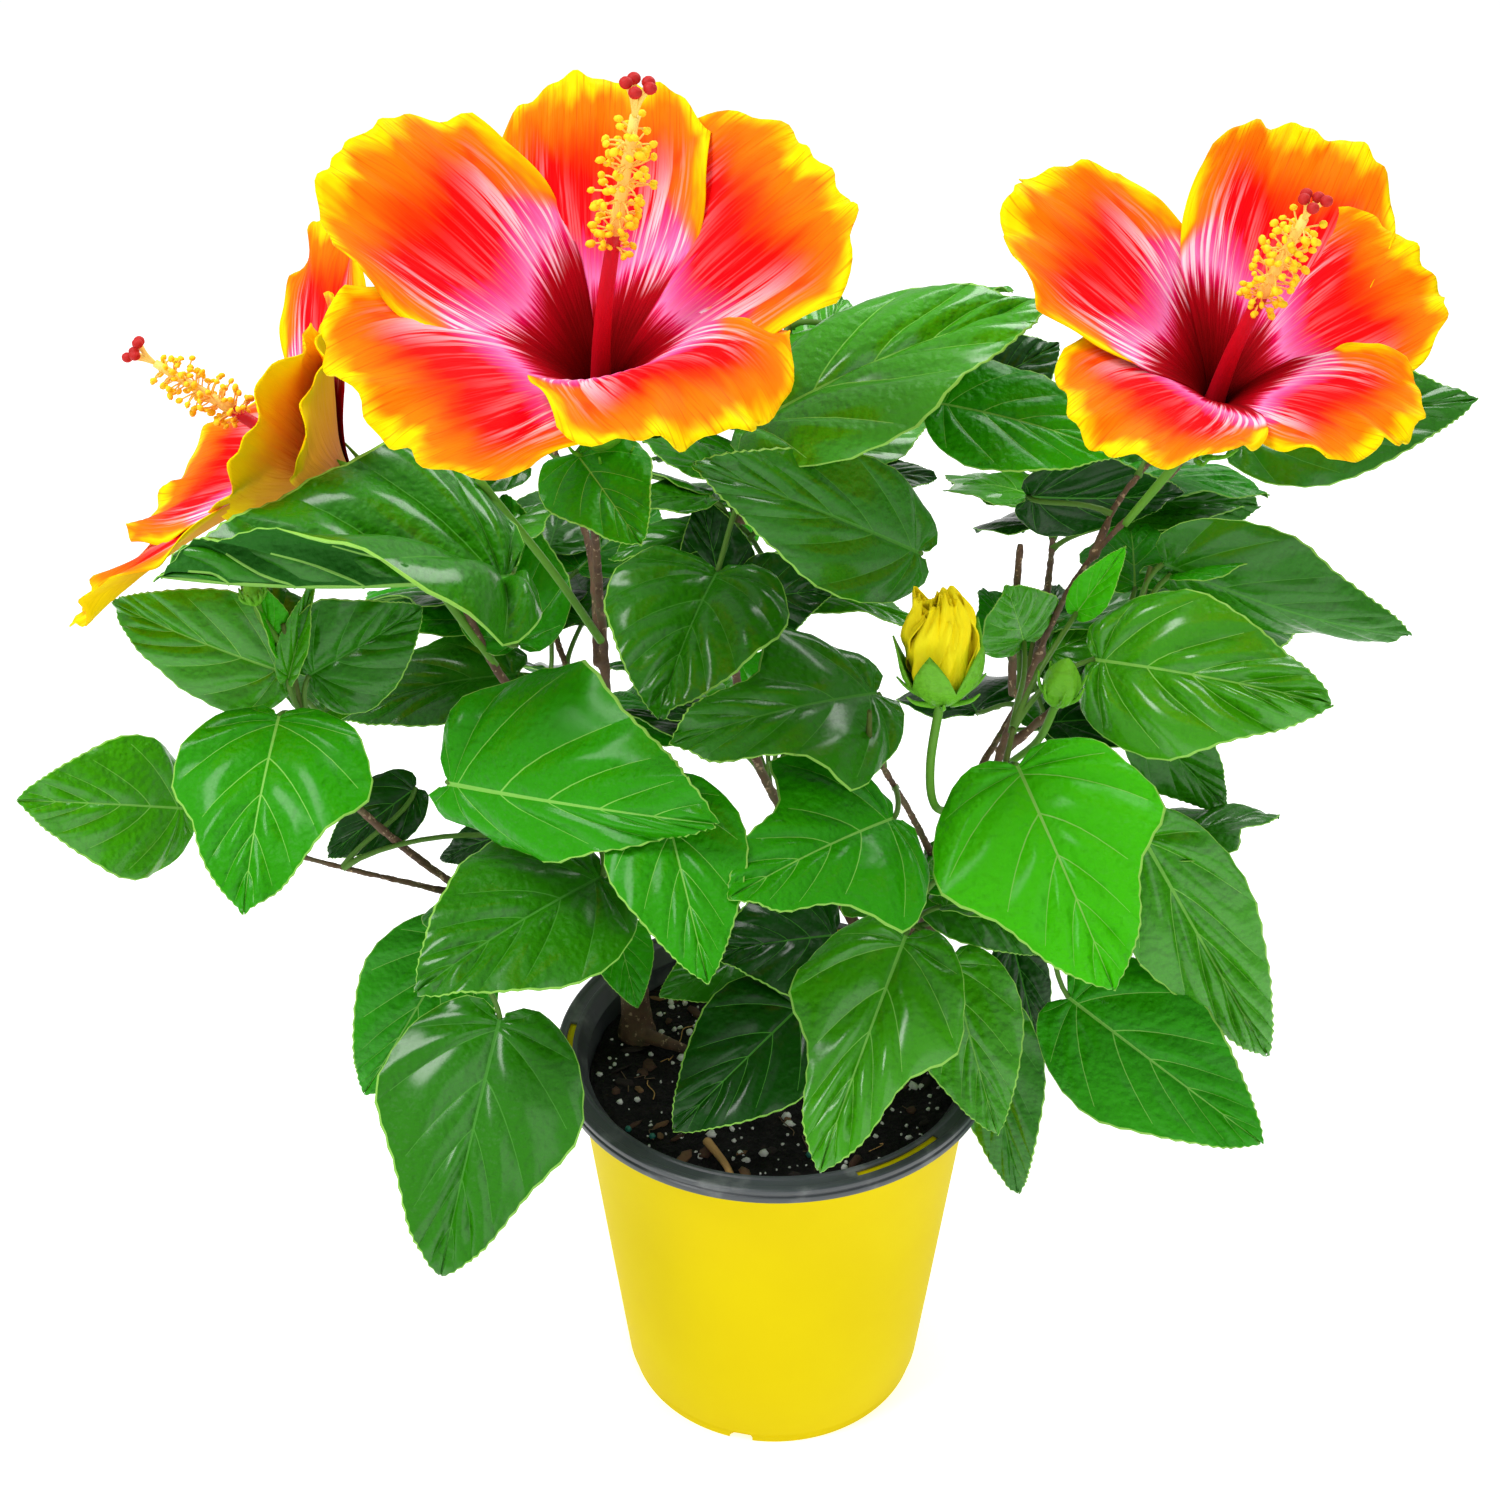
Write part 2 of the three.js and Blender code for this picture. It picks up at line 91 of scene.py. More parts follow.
def add_lamp(place, aim, size, power):
    """A square soft lamp at a place, in metres, turned toward its aim."""
    turn = (Vector(aim) - Vector(place)).to_track_quat("-Z", "Y").to_euler()
    bpy.ops.object.light_add(type="AREA", location=place, rotation=turn)
    lamp = bpy.context.object.data
    lamp.shape, lamp.size, lamp.energy = "SQUARE", size, power


add_lamp((-0.9, -0.5, 1.9), (0, 0, 0.3), 0.8, 27)
add_lamp((0.7, 0.9, 1.7), (0, 0, 0.35), 0.8, 16)
add_lamp((0.9, -1.5, 1.0), (0, 0, 0.3), 1.2, 6)
world = bpy.data.worlds.new("soft_white")
bpy.context.scene.world = world
world.use_nodes = True
world.node_tree.nodes["Background"].inputs["Color"].default_value = (1, 1, 1, 1)
world.node_tree.nodes["Background"].inputs["Strength"].default_value = SKY_LIGHT
bpy.context.scene.view_settings.view_transform = "Standard"

bpy.ops.mesh.primitive_plane_add(size=14, location=(0, 0, -FLOOR_DROP))
floor = bpy.context.object
floor.name = "floor"
floor_look = bpy.data.materials.new("floor_white")
floor_look.use_nodes = True
floor_shader = floor_look.node_tree.nodes["Principled BSDF"]
floor_shader.inputs["Base Color"].default_value = (FLOOR_GREY, FLOOR_GREY, FLOOR_GREY, 1)
floor_shader.inputs["Roughness"].default_value = 0.9
floor_shader.inputs["Emission Color"].default_value = (1, 1, 1, 1)
floor_shader.inputs["Emission Strength"].default_value = FLOOR_GLOW
floor.data.materials.append(floor_look)
floor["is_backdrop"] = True

# ---- Cover pot ------------------------------------------------------------------------
# A thin tapered cup of satin yellow plastic, injection moulded in one piece, with a flange
# round its mouth and an inset foot ring that has three small drain notches.

POT_HEIGHT = 152
FOOT_HEIGHT = 4.5
FOOT_RADIUS = 57.6
BASE_RADIUS = 59
TOP_RADIUS = 75.4
COVER_WALL = 1.6
FLANGE_RADIUS = 79.2
FLANGE_TOP = 150.15
FLANGE_THICK = 1.6
NOTCH_ANGLES = (-103, 17, 137)


def spaced(inputs):
    """Inputs written as plain words, under the names that a node gives them."""
    return {key.replace("_", " "): value for key, value in inputs.items()}


class Finish:
    """A material's nodes, with short ways to add and join them. Colours are 0 to 255."""

    def __init__(self, name, colour, roughness, **more):
        self.material = bpy.data.materials.new(name)
        self.material.use_nodes = True
        self.tree = self.material.node_tree
        self.shader = self.tree.nodes["Principled BSDF"]
        self.paint(linear(*colour))
        self.set(self.shader, {"Roughness": roughness, **spaced(more)})

    def paint(self, colour):
        self.set(self.shader, {"Base Color": colour})

    def set(self, node, inputs):
        for key, value in inputs.items():
            socket = node.inputs[key]
            if isinstance(value, bpy.types.NodeSocket):
                self.tree.links.new(value, socket)
            else:
                socket.default_value = value

    def add(self, kind, settings=None, **inputs):
        node = self.tree.nodes.new("ShaderNode" + kind)
        for key, value in (settings or {}).items():
            setattr(node, key, value)
        self.set(node, spaced(inputs))
        return node

    def math(self, operation, *values):
        node = self.add("Math", {"operation": operation})
        self.set(node, dict(enumerate(values)))
        return node.outputs[0]

    def times(self, first, second):
        return self.math("MULTIPLY", first, second)

    def rest(self, value):
        """What the value lacks of 1."""
        return self.math("SUBTRACT", 1.0, value)

    def place(self):
        return self.add("TexCoord").outputs["Object"]

    def scaled(self, place, scale):
        return self.add("Mapping", Vector=place, Scale=scale).outputs["Vector"]

    def noise(self, place, scale, detail=4.0, roughness=0.55):
        node = self.add("TexNoise", Vector=place, Scale=scale, Detail=detail)
        node.inputs["Roughness"].default_value = roughness
        return node.outputs["Fac"]

    def streaks(self, place, across, along, detail=3.0):
        return self.noise(self.scaled(place, (across, along, 1)), 1.0, detail)

    def blend(self, factor, first, second):
        node = self.add("Mix", {"data_type": "RGBA"})
        self.set(node, {0: factor, 6: first, 7: second})
        return node.outputs[2]

    def ease(self, value, start, end):
        node = self.add("MapRange", {"interpolation_type": "SMOOTHSTEP"}, Value=value)
        self.set(node, {1: start, 2: end})
        return node.outputs[0]

    def ramp(self, value, stops):
        node = self.add("ValToRGB")
        self.set(node, {0: value})
        row = node.color_ramp.elements
        for stop, (at, *colour) in enumerate(stops):
            mark = row[stop] if stop < 2 else row.new(at)
            mark.position, mark.color = at, linear(*colour)
        return node.outputs[0]

    def bump(self, height, strength, depth):
        node = self.add("Bump", Height=height, Strength=strength, Distance=depth)
        self.set(self.shader, {"Normal": node.outputs[0]})


def turned(name, profile, sides=144):
    """A closed cup drawn out from a disc, ring by ring, through [radius, height] points."""
    bpy.ops.object.select_all(action="DESELECT")
    radius, height = profile[0]
    bpy.ops.mesh.primitive_circle_add(
        vertices=sides, radius=radius * MM, fill_type="NGON", location=(0, 0, height * MM)
    )
    cup = bpy.context.object
    cup.name = name
    bpy.ops.object.mode_set(mode="EDIT")
    bpy.ops.mesh.select_all(action="SELECT")
    bpy.ops.mesh.select_mode(type="EDGE")
    bpy.ops.mesh.extrude_edges_move()
    for next_radius, next_height in profile[1:]:
        share = next_radius / radius
        bpy.ops.transform.translate(value=(0, 0, (next_height - height) * MM))
        bpy.ops.transform.resize(value=(share, share, 1), center_override=(0, 0, 0))
        radius, height = next_radius, next_height
        if (next_radius, next_height) != profile[-1]:
            bpy.ops.mesh.extrude_edges_move()
    bpy.ops.mesh.edge_face_add()
    bpy.ops.mesh.select_all(action="SELECT")
    bpy.ops.mesh.normals_make_consistent(inside=False)
    bpy.ops.object.mode_set(mode="OBJECT")
    bpy.ops.object.transform_apply()
    return cup


def pick(piece):
    """Makes this piece the active one and the only one selected."""
    bpy.ops.object.select_all(action="DESELECT")
    bpy.context.view_layer.objects.active = piece
    piece.select_set(True)


def cut_away(piece, cutter):
    """Takes the cutter's shape out of the piece, and removes the cutter."""
    pick(piece)
    cut = piece.modifiers.new("cut", "BOOLEAN")
    cut.object, cut.operation, cut.solver = cutter, "DIFFERENCE", "EXACT"
    bpy.ops.object.modifier_apply(modifier="cut")
    bpy.data.objects.remove(cutter)


def soften_edges(piece, width, segments=2):
    """Rounds the moulded edges and shades the curved faces smooth."""
    pick(piece)
    edge = piece.modifiers.new("edge", "BEVEL")
    edge.width, edge.segments, edge.limit_method = width, segments, "ANGLE"
    edge.angle_limit, edge.use_clamp_overlap = radians(28), True
    bpy.ops.object.modifier_apply(modifier="edge")
    bpy.ops.object.shade_smooth_by_angle(angle=radians(34))


def finish_piece(piece, slot, *nodes):
    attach(piece, "root")
    if nodes:
        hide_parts(*nodes)


def dress(piece, look, node):
    """Gives a turned piece its finish, and hides the model part of the same node name."""
    piece.data.materials.clear()
    piece.data.materials.append(look.material)
    finish_piece(piece, node, node)


def wall_radius(height):
    share = (height - FOOT_HEIGHT) / (POT_HEIGHT - FOOT_HEIGHT)
    return BASE_RADIUS + (TOP_RADIUS - BASE_RADIUS) * share


flange_under = FLANGE_TOP - FLANGE_THICK
cover_pot = turned(
    "yellow_cover_pot",
    [
        (6, 1.1), (FOOT_RADIUS - 5.5, 1.1), (FOOT_RADIUS - 4.6, 0), (FOOT_RADIUS, 0),
        (FOOT_RADIUS, FOOT_HEIGHT - 0.5), (BASE_RADIUS, FOOT_HEIGHT + 0.6), (wall_radius(40), 40),
        (wall_radius(90), 90), (wall_radius(flange_under), flange_under),
        (FLANGE_RADIUS, flange_under), (FLANGE_RADIUS, FLANGE_TOP),
        (wall_radius(FLANGE_TOP) - COVER_WALL, FLANGE_TOP), (wall_radius(80) - COVER_WALL, 80),
        (BASE_RADIUS - COVER_WALL, FOOT_HEIGHT + 0.6), (FOOT_RADIUS - 4, FOOT_HEIGHT - 0.6),
        (FOOT_RADIUS - 4, 2.2), (6, 2.2),
    ],
)
for angle in NOTCH_ANGLES:
    turn = radians(angle)
    bpy.ops.mesh.primitive_cube_add(
        size=1,
        location=(FOOT_RADIUS * MM * cos(turn), FOOT_RADIUS * MM * sin(turn), 0),
        rotation=(0, 0, turn),
        scale=(5 * MM, 9 * MM, 6.8 * MM),
    )
    notch = bpy.context.object
    bpy.ops.object.modifier_add(type="BEVEL")
    notch.modifiers[0].width = 1.2 * MM
    bpy.ops.object.modifier_apply(modifier=notch.modifiers[0].name)
    cut_away(cover_pot, notch)
soften_edges(cover_pot, 0.45 * MM)

YELLOW = (228, 208, 0)
YELLOW_DEEP = (222, 196, 0)
plastic = Finish("yellow_plastic", YELLOW, 0.55, Specular_IOR_Level=0.03)
spot = plastic.place()
cloudy = plastic.noise(spot, 22, 3.0)
plastic.paint(plastic.blend(cloudy, linear(*YELLOW_DEEP), linear(*YELLOW)))
plastic.bump(plastic.noise(spot, 1600, 2.0), 0.12, 0.0003)
dress(cover_pot, plastic, "cover_pot")

# ---- Nursery pot ----------------------------------------------------------------------
# The grower's own pot, thin grey-black plastic. Its ledge rests on the cover pot's flange and
# its lip hangs over it; three curved slots go through the ledge, and beads stiffen the rim.

RIM_RADIUS = 82
RIM_DEPTH = 5.6
LIP_THICK = 2
LEDGE_UNDER = 150.5
LINER_WALL = 1.4
GAP = 0.35
SLOT_RADIUS = 77.4
SLOT_WIDTH = 2.6
SLOT_SWEEP = 26
SLOT_ANGLES = (-56, 64, 184)
LINER_FLOOR = 5.5


def liner_radius(height):
    return wall_radius(height) - COVER_WALL - GAP


liner_foot = liner_radius(LINER_FLOOR) - 2
nursery_pot = turned(
    "nursery_pot_liner",
    [
        (6, LINER_FLOOR), (liner_foot, LINER_FLOOR), (liner_radius(FLANGE_TOP), FLANGE_TOP),
        (liner_radius(LEDGE_UNDER), LEDGE_UNDER), (RIM_RADIUS - LIP_THICK, LEDGE_UNDER),
        (RIM_RADIUS - LIP_THICK, POT_HEIGHT - RIM_DEPTH), (RIM_RADIUS, POT_HEIGHT - RIM_DEPTH),
        (RIM_RADIUS, POT_HEIGHT - 3.6), (RIM_RADIUS - 0.7, POT_HEIGHT - 3.2),
        (RIM_RADIUS - 0.7, POT_HEIGHT - 2.4), (RIM_RADIUS, POT_HEIGHT - 2.0),
        (RIM_RADIUS, POT_HEIGHT - 0.4), (RIM_RADIUS - 0.7, POT_HEIGHT),
        (RIM_RADIUS - 2.2, POT_HEIGHT), (RIM_RADIUS - 2.9, POT_HEIGHT - 0.6),
        (76.0, POT_HEIGHT - 0.6), (75.5, POT_HEIGHT), (74.4, POT_HEIGHT), (73.6, POT_HEIGHT - 0.9),
        (liner_radius(POT_HEIGHT - 5) - LINER_WALL, POT_HEIGHT - 5),
        (liner_radius(POT_HEIGHT - 5.6) - LINER_WALL - 0.7, POT_HEIGHT - 5.6),
        (liner_radius(POT_HEIGHT - 7) - LINER_WALL - 0.7, POT_HEIGHT - 7),
        (liner_radius(POT_HEIGHT - 7.6) - LINER_WALL, POT_HEIGHT - 7.6),
        (liner_foot - LINER_WALL, LINER_FLOOR + LINER_WALL), (6, LINER_FLOOR + LINER_WALL),
    ],
)
for middle in SLOT_ANGLES:
    bpy.ops.mesh.primitive_plane_add(size=1)
    slot_cutter = bpy.context.object
    slot_cutter.data.transform(
        Matrix.Translation((SLOT_RADIUS * MM, 0, (LEDGE_UNDER - 2) * MM))
        @ Matrix.Rotation(pi / 2, 4, "X")
        @ Matrix.Diagonal((SLOT_WIDTH * MM, 8 * MM, 1, 1))
    )
    slot_cutter.data.transform(Matrix.Rotation(radians(middle + SLOT_SWEEP / 2), 4, "Z"))
    bpy.ops.object.mode_set(mode="EDIT")
    bpy.ops.mesh.select_all(action="SELECT")
    bpy.ops.mesh.spin(
        steps=10, angle=radians(SLOT_SWEEP), center=(0, 0, 0), axis=(0, 0, 1)
    )
    bpy.ops.mesh.select_all(action="SELECT")
    bpy.ops.mesh.remove_doubles(threshold=1e-6)
    bpy.ops.mesh.normals_make_consistent(inside=False)
    bpy.ops.object.mode_set(mode="OBJECT")
    cut_away(nursery_pot, slot_cutter)
soften_edges(nursery_pot, 0.3 * MM)

plastic = Finish("grey_black_plastic", (44, 49, 52), 0.42)
spot = plastic.place()
dusty = plastic.ease(plastic.noise(spot, 60, 6.0), 0.52, 0.78)
plastic.paint(plastic.blend(dusty, linear(66, 71, 74), linear(118, 122, 122)))
plastic.set(plastic.shader, {"Roughness": plastic.math("MULTIPLY_ADD", dusty, 0.3, 0.36)})
plastic.bump(plastic.noise(spot, 900, 3.0), 0.2, 0.0003)
dress(nursery_pot, plastic, "nursery_pot")

# ---- Potting mix ----------------------------------------------------------------------
# Dark peat and bark, heaped loosely to a little below the rim, with white grains of perlite,
# brown bark chips, a dry twig, a few teal feed beads and fine pale roots on top.

SOIL_TOP = 138
SOIL_RADIUS = liner_radius(SOIL_TOP) - LINER_WALL - 2 * GAP - 0.4
SOIL_RINGS = 56
PERLITE_GRAINS = 330
BARK_CHIPS = 90
FINE_ROOTS = 34
FEED_BEADS = ((-54, -34), (-45, -38), (-30, -8), (12, -48), (38, -22), (-12, 40))


def soil_height(x, y):
    """Height of the mix, in millimetres, at a place on its top."""
    coarse = noise.noise(Vector((x / 17, y / 17, 3.1))) * 1.5
    middle = noise.noise(Vector((x / 6, y / 6, 8.4))) * 0.9
    fine = abs(noise.noise(Vector((x / 2.3, y / 2.3, 1.7)))) * 1.1
    away = max(0.0, 1 - sqrt(x * x + y * y) / SOIL_RADIUS)
    return SOIL_TOP - 0.6 + coarse + middle + fine + 1.2 * away


soil_low = LINER_FLOOR + LINER_WALL + GAP
soil_profile = [(4, soil_low), (liner_foot - LINER_WALL - GAP, soil_low)]
for ring in range(SOIL_RINGS):
    soil_profile.append((SOIL_RADIUS * (1 - ring / SOIL_RINGS) + 0.4, SOIL_TOP - 0.01 * ring))
potting_mix = turned("potting_mix_surface", soil_profile, sides=160)
for corner in potting_mix.data.vertices:
    if corner.co.z > 120 * MM:
        corner.co.z = soil_height(corner.co.x / MM, corner.co.y / MM) * MM
bpy.ops.object.shade_smooth_by_angle(angle=radians(50))
peat = Finish("peat_and_bark", (20, 16, 15), 0.9, Specular_IOR_Level=0.25)
spot = peat.place()
grain = peat.add("TexVoronoi", Vector=spot, Scale=520.0)
damp = peat.noise(spot, 240, 8.0, 0.7)
peat_stops = [(0.3, 5, 4, 4), (0.76, 62, 46, 40), (0.5, 12, 9, 9), (0.62, 24, 17, 16)]
peat.paint(peat.ramp(damp, peat_stops))
peat.set(peat.shader, {"Roughness": peat.math("MULTIPLY_ADD", damp, -0.5, 1.0)})
peat.bump(peat.math("ADD", grain.outputs["Distance"], damp), 0.8, 0.0012)
dress(potting_mix, peat, "potting_mix")


class Bundle:
    """Small closed shapes, each an array of points and faces, gathered into one mesh."""

    def __init__(self):
        self.points, self.faces, self.looks, self.spots, self.count = [], [], [], [], 0

    def add(self, points, faces, looks=0, spots=None):
        points = np.asarray(points, float)
        self.faces += [[self.count + corner for corner in face] for face in faces]
        self.looks += list(looks) if np.ndim(looks) else [looks] * len(faces)
        self.points.append(points)
        self.spots.append(np.zeros((len(points), 2)) if spots is None else spots)
        self.count += len(points)

    def add_stalk(self, points, steps, foot, tip, sides, look=0):
        """A round stalk through the given points, which narrows from its foot to its tip."""
        line = smooth_path(points, steps)
        self.add(*tube(line, np.linspace(foot, tip, len(line)), sides), look)

    def piece(self, name, finishes, slot, *nodes):
        """One object from all that was gathered, its points given in millimetres."""
        mesh = bpy.data.meshes.new(name)
        mesh.from_pydata(np.vstack(self.points) * MM, [], self.faces)
        for look in finishes:
            mesh.materials.append(look.material)
        mesh.polygons.foreach_set("material_index", self.looks)
        mesh.polygons.foreach_set("use_smooth", [True] * len(self.faces))
        if any(spots.any() for spots in self.spots):
            corners = np.zeros(len(mesh.loops), int)
            mesh.loops.foreach_get("vertex_index", corners)
            layer = mesh.uv_layers.new(name="petal")
            layer.data.foreach_set("uv", np.vstack(self.spots)[corners].ravel())
        mesh.update()
        made = bpy.data.objects.new(name, mesh)
        bpy.context.scene.collection.objects.link(made)
        finish_piece(made, slot, *nodes)
        return made


def ball(rows=4, sides=6):
    """Points and faces of a round ball of radius 1."""
    points = [(0, 0, 1)]
    for row in range(1, rows):
        for side in range(sides):
            tilt, turn = pi * row / rows, 2 * pi * side / sides
            points.append((sin(tilt) * cos(turn), sin(tilt) * sin(turn), cos(tilt)))
    points.append((0, 0, -1))
    last = len(points) - 1
    faces = []
    for side in range(sides):
        after = (side + 1) % sides
        faces.append((0, 1 + side, 1 + after))
        for row in range(rows - 2):
            first = 1 + row * sides
            faces.append(
                (first + side, first + sides + side, first + sides + after, first + after)
            )
        foot = last - sides
        faces.append((last, foot + after, foot + side))
    return np.array(points), faces


def smooth_path(points, steps=8):
    """Points along a smooth curve that passes through the given ones."""
    spots = np.array(points, float)
    spots = np.vstack([2 * spots[0] - spots[1], spots, 2 * spots[-1] - spots[-2]])
    path = []
    for a, b, c, d in zip(spots, spots[1:], spots[2:], spots[3:]):
        for t in np.arange(steps) / steps:
            bend = 2 * a - 5 * b + 4 * c - d
            path.append(0.5 * (2 * b + (c - a) * t + bend * t**2 + (3 * b - a - 3 * c + d) * t**3))
    path.append(spots[-2])
    return np.array(path)


def unit(vector):
    vector = np.asarray(vector, float)
    return vector / max(np.linalg.norm(vector), 1e-9)


def tube(path, radii, sides=7):
    """Points and faces of a closed round tube along a path, with its radius at each point."""
    path, radii = np.asarray(path, float), np.broadcast_to(radii, len(path))
    along = np.gradient(path, axis=0)
    across = unit(np.cross(along[0], (0.31, 0.17, 0.9)))
    points = []
    for place, radius, way in zip(path, radii, along):
        way = unit(way)
        across = unit(across - way * across.dot(way))
        over = np.cross(way, across)
        for side in range(sides):
            turn = 2 * pi * side / sides
            points.append(place + radius * (cos(turn) * across + sin(turn) * over))
    last = len(path) - 1
    points += [path[0], path[last]]
    faces = []
    for side in range(sides):
        after = (side + 1) % sides
        for ring in range(last):
            low, high = ring * sides, ring * sides + sides
            faces.append((low + side, low + after, high + after, high + side))
        faces.append((len(points) - 2, after, side))
        faces.append((len(points) - 1, last * sides + side, last * sides + after))
    return np.array(points), faces


def on_soil(rng, reach=0.96):
    radius, turn = SOIL_RADIUS * reach * sqrt(rng.random()), rng.uniform(0, 2 * pi)
    x, y = radius * cos(turn), radius * sin(turn)
    return np.array((x, y, soil_height(x, y)))


def rough_finish(name, colour, roughness, scale, detail, strength, depth):
    """A plain colour with a fine uneven surface."""
    look = Finish(name, colour, roughness)
    look.bump(look.noise(look.place(), scale, detail), strength, depth)
    return look


rng = np.random.default_rng(7)
grain_points, grain_faces = ball()
perlite = Bundle()
for _ in range(PERLITE_GRAINS):
    size = rng.choice((0.5, 0.7, 0.9, 1.3, 1.9), p=(0.35, 0.25, 0.2, 0.14, 0.06))
    lumps = rng.uniform(0.75, 1.2, (len(grain_points), 1)) * rng.uniform(0.7, 1.2, 3)
    perlite.add(on_soil(rng) + grain_points * lumps * size, grain_faces)
white = rough_finish("perlite_white", (226, 226, 220), 0.8, 1500, 4.0, 0.5, 0.0004)
perlite.piece("perlite_grains", [white], "potting_mix")

chips = Bundle()
for number in range(BARK_CHIPS):
    size = np.array((rng.uniform(2, 6), rng.uniform(1.2, 3), rng.uniform(0.5, 1.3)))
    turn = Matrix.Rotation(rng.uniform(0, pi), 3, "Z")
    turn = turn @ Matrix.Rotation(rng.normal(0, 0.3), 3, "X")
    lumps = rng.uniform(0.75, 1.15, (len(grain_points), 1))
    shape = (grain_points * lumps * size) @ np.array(turn).T
    chips.add(on_soil(rng, 0.93) + shape, grain_faces, number % 3)
CHIP_COLOURS = {"dark": (34, 24, 20), "brown": (72, 48, 34), "tan": (112, 82, 56)}
chip_looks = [
    rough_finish("bark_chip_" + name, colour, 0.85, 700, 6.0, 0.6, 0.0006)
    for name, colour in CHIP_COLOURS.items()
]
chips.piece("bark_chips", chip_looks, "potting_mix")

litter = Bundle()
dry_twig = [(-25, -43, 140.5), (-22, -49, 141.2), (-18, -56, 140.6), (-15, -64, 140.2)]
litter.add_stalk(dry_twig, 6, 1.7, 1.1, 8)
for _ in range(FINE_ROOTS):
    start = on_soil(rng, 0.9)
    way = rng.uniform(0, 2 * pi)
    reach = rng.uniform(5, 14)
    bends = [start + (0, 0, 0.4)]
    for step in (0.35, 0.7, 1.0):
        x = start[0] + reach * step * cos(way) + rng.normal(0, 1.2)
        y = start[1] + reach * step * sin(way) + rng.normal(0, 1.2)
        bends.append((x, y, soil_height(x, y) + rng.uniform(0.1, 0.9)))
    if np.hypot(*bends[-1][:2]) < SOIL_RADIUS - 2:
        litter.add_stalk(bends, 4, 0.22, 0.22, 4, rng.integers(0, 2))
for x, y in FEED_BEADS:
    litter.add(np.array((x, y, soil_height(x, y) + 0.6)) + grain_points * 1.35, grain_faces, 2)
LITTER = (
    ("dry_twig", (196, 150, 92), 0.8),
    ("fine_root", (104, 84, 64), 0.8),
    ("feed_bead", (44, 122, 108), 0.35),
)
litter_looks = [rough_finish(*look, 900, 4.0, 0.4, 0.0004) for look in LITTER]
litter.piece("twig_roots_and_beads", litter_looks, "potting_mix")

# ---- Woody stems ----------------------------------------------------------------------
# Two brown woody stems rise from the mix and fork into boughs. The bark is thin and smooth,
# with fine cracks, pale specks and the swollen rings of old leaf scars.

# A limb: its path, and its radius at the foot and at the tip.
LEFT_WOOD = {
    "trunk_left": ([(-53, 22, 132), (-54, 19, 165), (-59, 12, 210), (-60, 9, 262)], 7.2, 4.4),
    "bough_left": (
        [(-57, 12, 192), (-90, 4, 207), (-114, 0, 222), (-147, -10, 265), (-158, -18, 300)],
        3.6, 2.2,
    ),
    "bough_far_left": ([(-106, 1, 216), (-132, -4, 227), (-160, -9, 239), (-186, -12, 251)], 2.4, 1.7),
    "bough_upper_left": (
        [(-60, 10, 250), (-82, 18, 278), (-97, 20, 299), (-106, 17, 324), (-112, 8, 352)],
        3.4, 2.4,
    ),
    "bough_centre": (
        [(-60, 9, 258), (-59, 10, 300), (-60, 8, 340), (-59, -14, 380), (-53, -51, 412)],
        3.2, 2.2,
    ),
    "bough_front_left": ([(-54, 13, 178), (-68, -12, 206), (-84, -40, 224), (-96, -56, 224)], 3.2, 2.0),
    "bough_middle_left": ([(-60, 9, 240), (-66, -18, 266), (-75, -44, 302)], 3.2, 2.2),
    "bough_back_left": ([(-59, 11, 214), (-66, 48, 246), (-86, 88, 286)], 3.4, 2.4),
    "bough_back_upper_left": ([(-61, 9, 308), (-66, 44, 338), (-82, 80, 364)], 2.8, 2.2),
}
RIGHT_WOOD = {
    "trunk_right": ([(33, 32, 132), (42, 24, 164), (57, 11, 198), (65, 5, 232)], 7.0, 4.4),
    "bough_middle": (
        [(42, 23, 168), (18, 30, 208), (-6, 31, 254), (-15, 30, 300), (-14, 24, 352)],
        3.8, 2.6,
    ),
    "bough_right": ([(65, 5, 228), (74, 0, 262), (80, 0, 290), (98, 0, 345), (128, -4, 388)], 3.4, 1.7),
    "bough_top": ([(-12, 16, 358), (-6, 18, 384), (0, 18, 404)], 2.4, 1.9),
    "bough_top_right": ([(103, -1, 354), (112, 12, 368), (126, 24, 380)], 2.4, 1.9),
    "bough_inner": ([(62, 6, 218), (48, -18, 260), (29, -48, 310)], 2.8, 2.0),
    "bough_front": ([(52, 15, 188), (48, -12, 214), (46, -36, 234)], 3.0, 2.2),
    "bough_front_right": ([(66, 4, 226), (70, -22, 262), (72, -46, 296)], 3.0, 2.2),
    "bough_low_right": ([(59, 10, 204), (82, -4, 214), (104, -16, 226)], 3.0, 2.2),
    "bough_far_right": ([(77, 0, 278), (98, 0, 300), (120, 6, 324)], 3.0, 2.2),
    "bough_back_right": ([(48, 19, 178), (68, 54, 216), (96, 84, 254)], 3.4, 2.4),
    "bough_back": ([(-9, 31, 262), (0, 66, 300), (6, 94, 332)], 2.8, 2.2),
    "bough_back_low": ([(21, 29, 204), (4, 52, 222), (-10, 74, 234)], 2.6, 2.0),
    "bough_back_upper_right": ([(88, 0, 316), (96, 44, 322), (103, 86, 328)], 2.8, 2.2),
}
SCAR_SPACING = 19
WOOD_GRAIN = 0.85

bark = Finish("woody_bark", (104, 76, 56), 0.72)
spot = bark.place()
weathered = bark.noise(spot, 90, 6.0, 0.65)
specks = bark.ease(bark.noise(spot, 520, 2.0), 0.6, 0.7)
bark_stops = [(0.3, 62, 44, 36), (0.72, 160, 128, 98), (0.5, 104, 78, 58), (0.6, 92, 84, 58)]
bark.paint(bark.blend(specks, bark.ramp(weathered, bark_stops), linear(176, 150, 120)))
fine_cracks = bark.noise(bark.scaled(spot, (1, 1, 0.4)), 900, 6.0, 0.7)
bark.bump(bark.math("ADD", weathered, fine_cracks), 0.6, 0.0007)


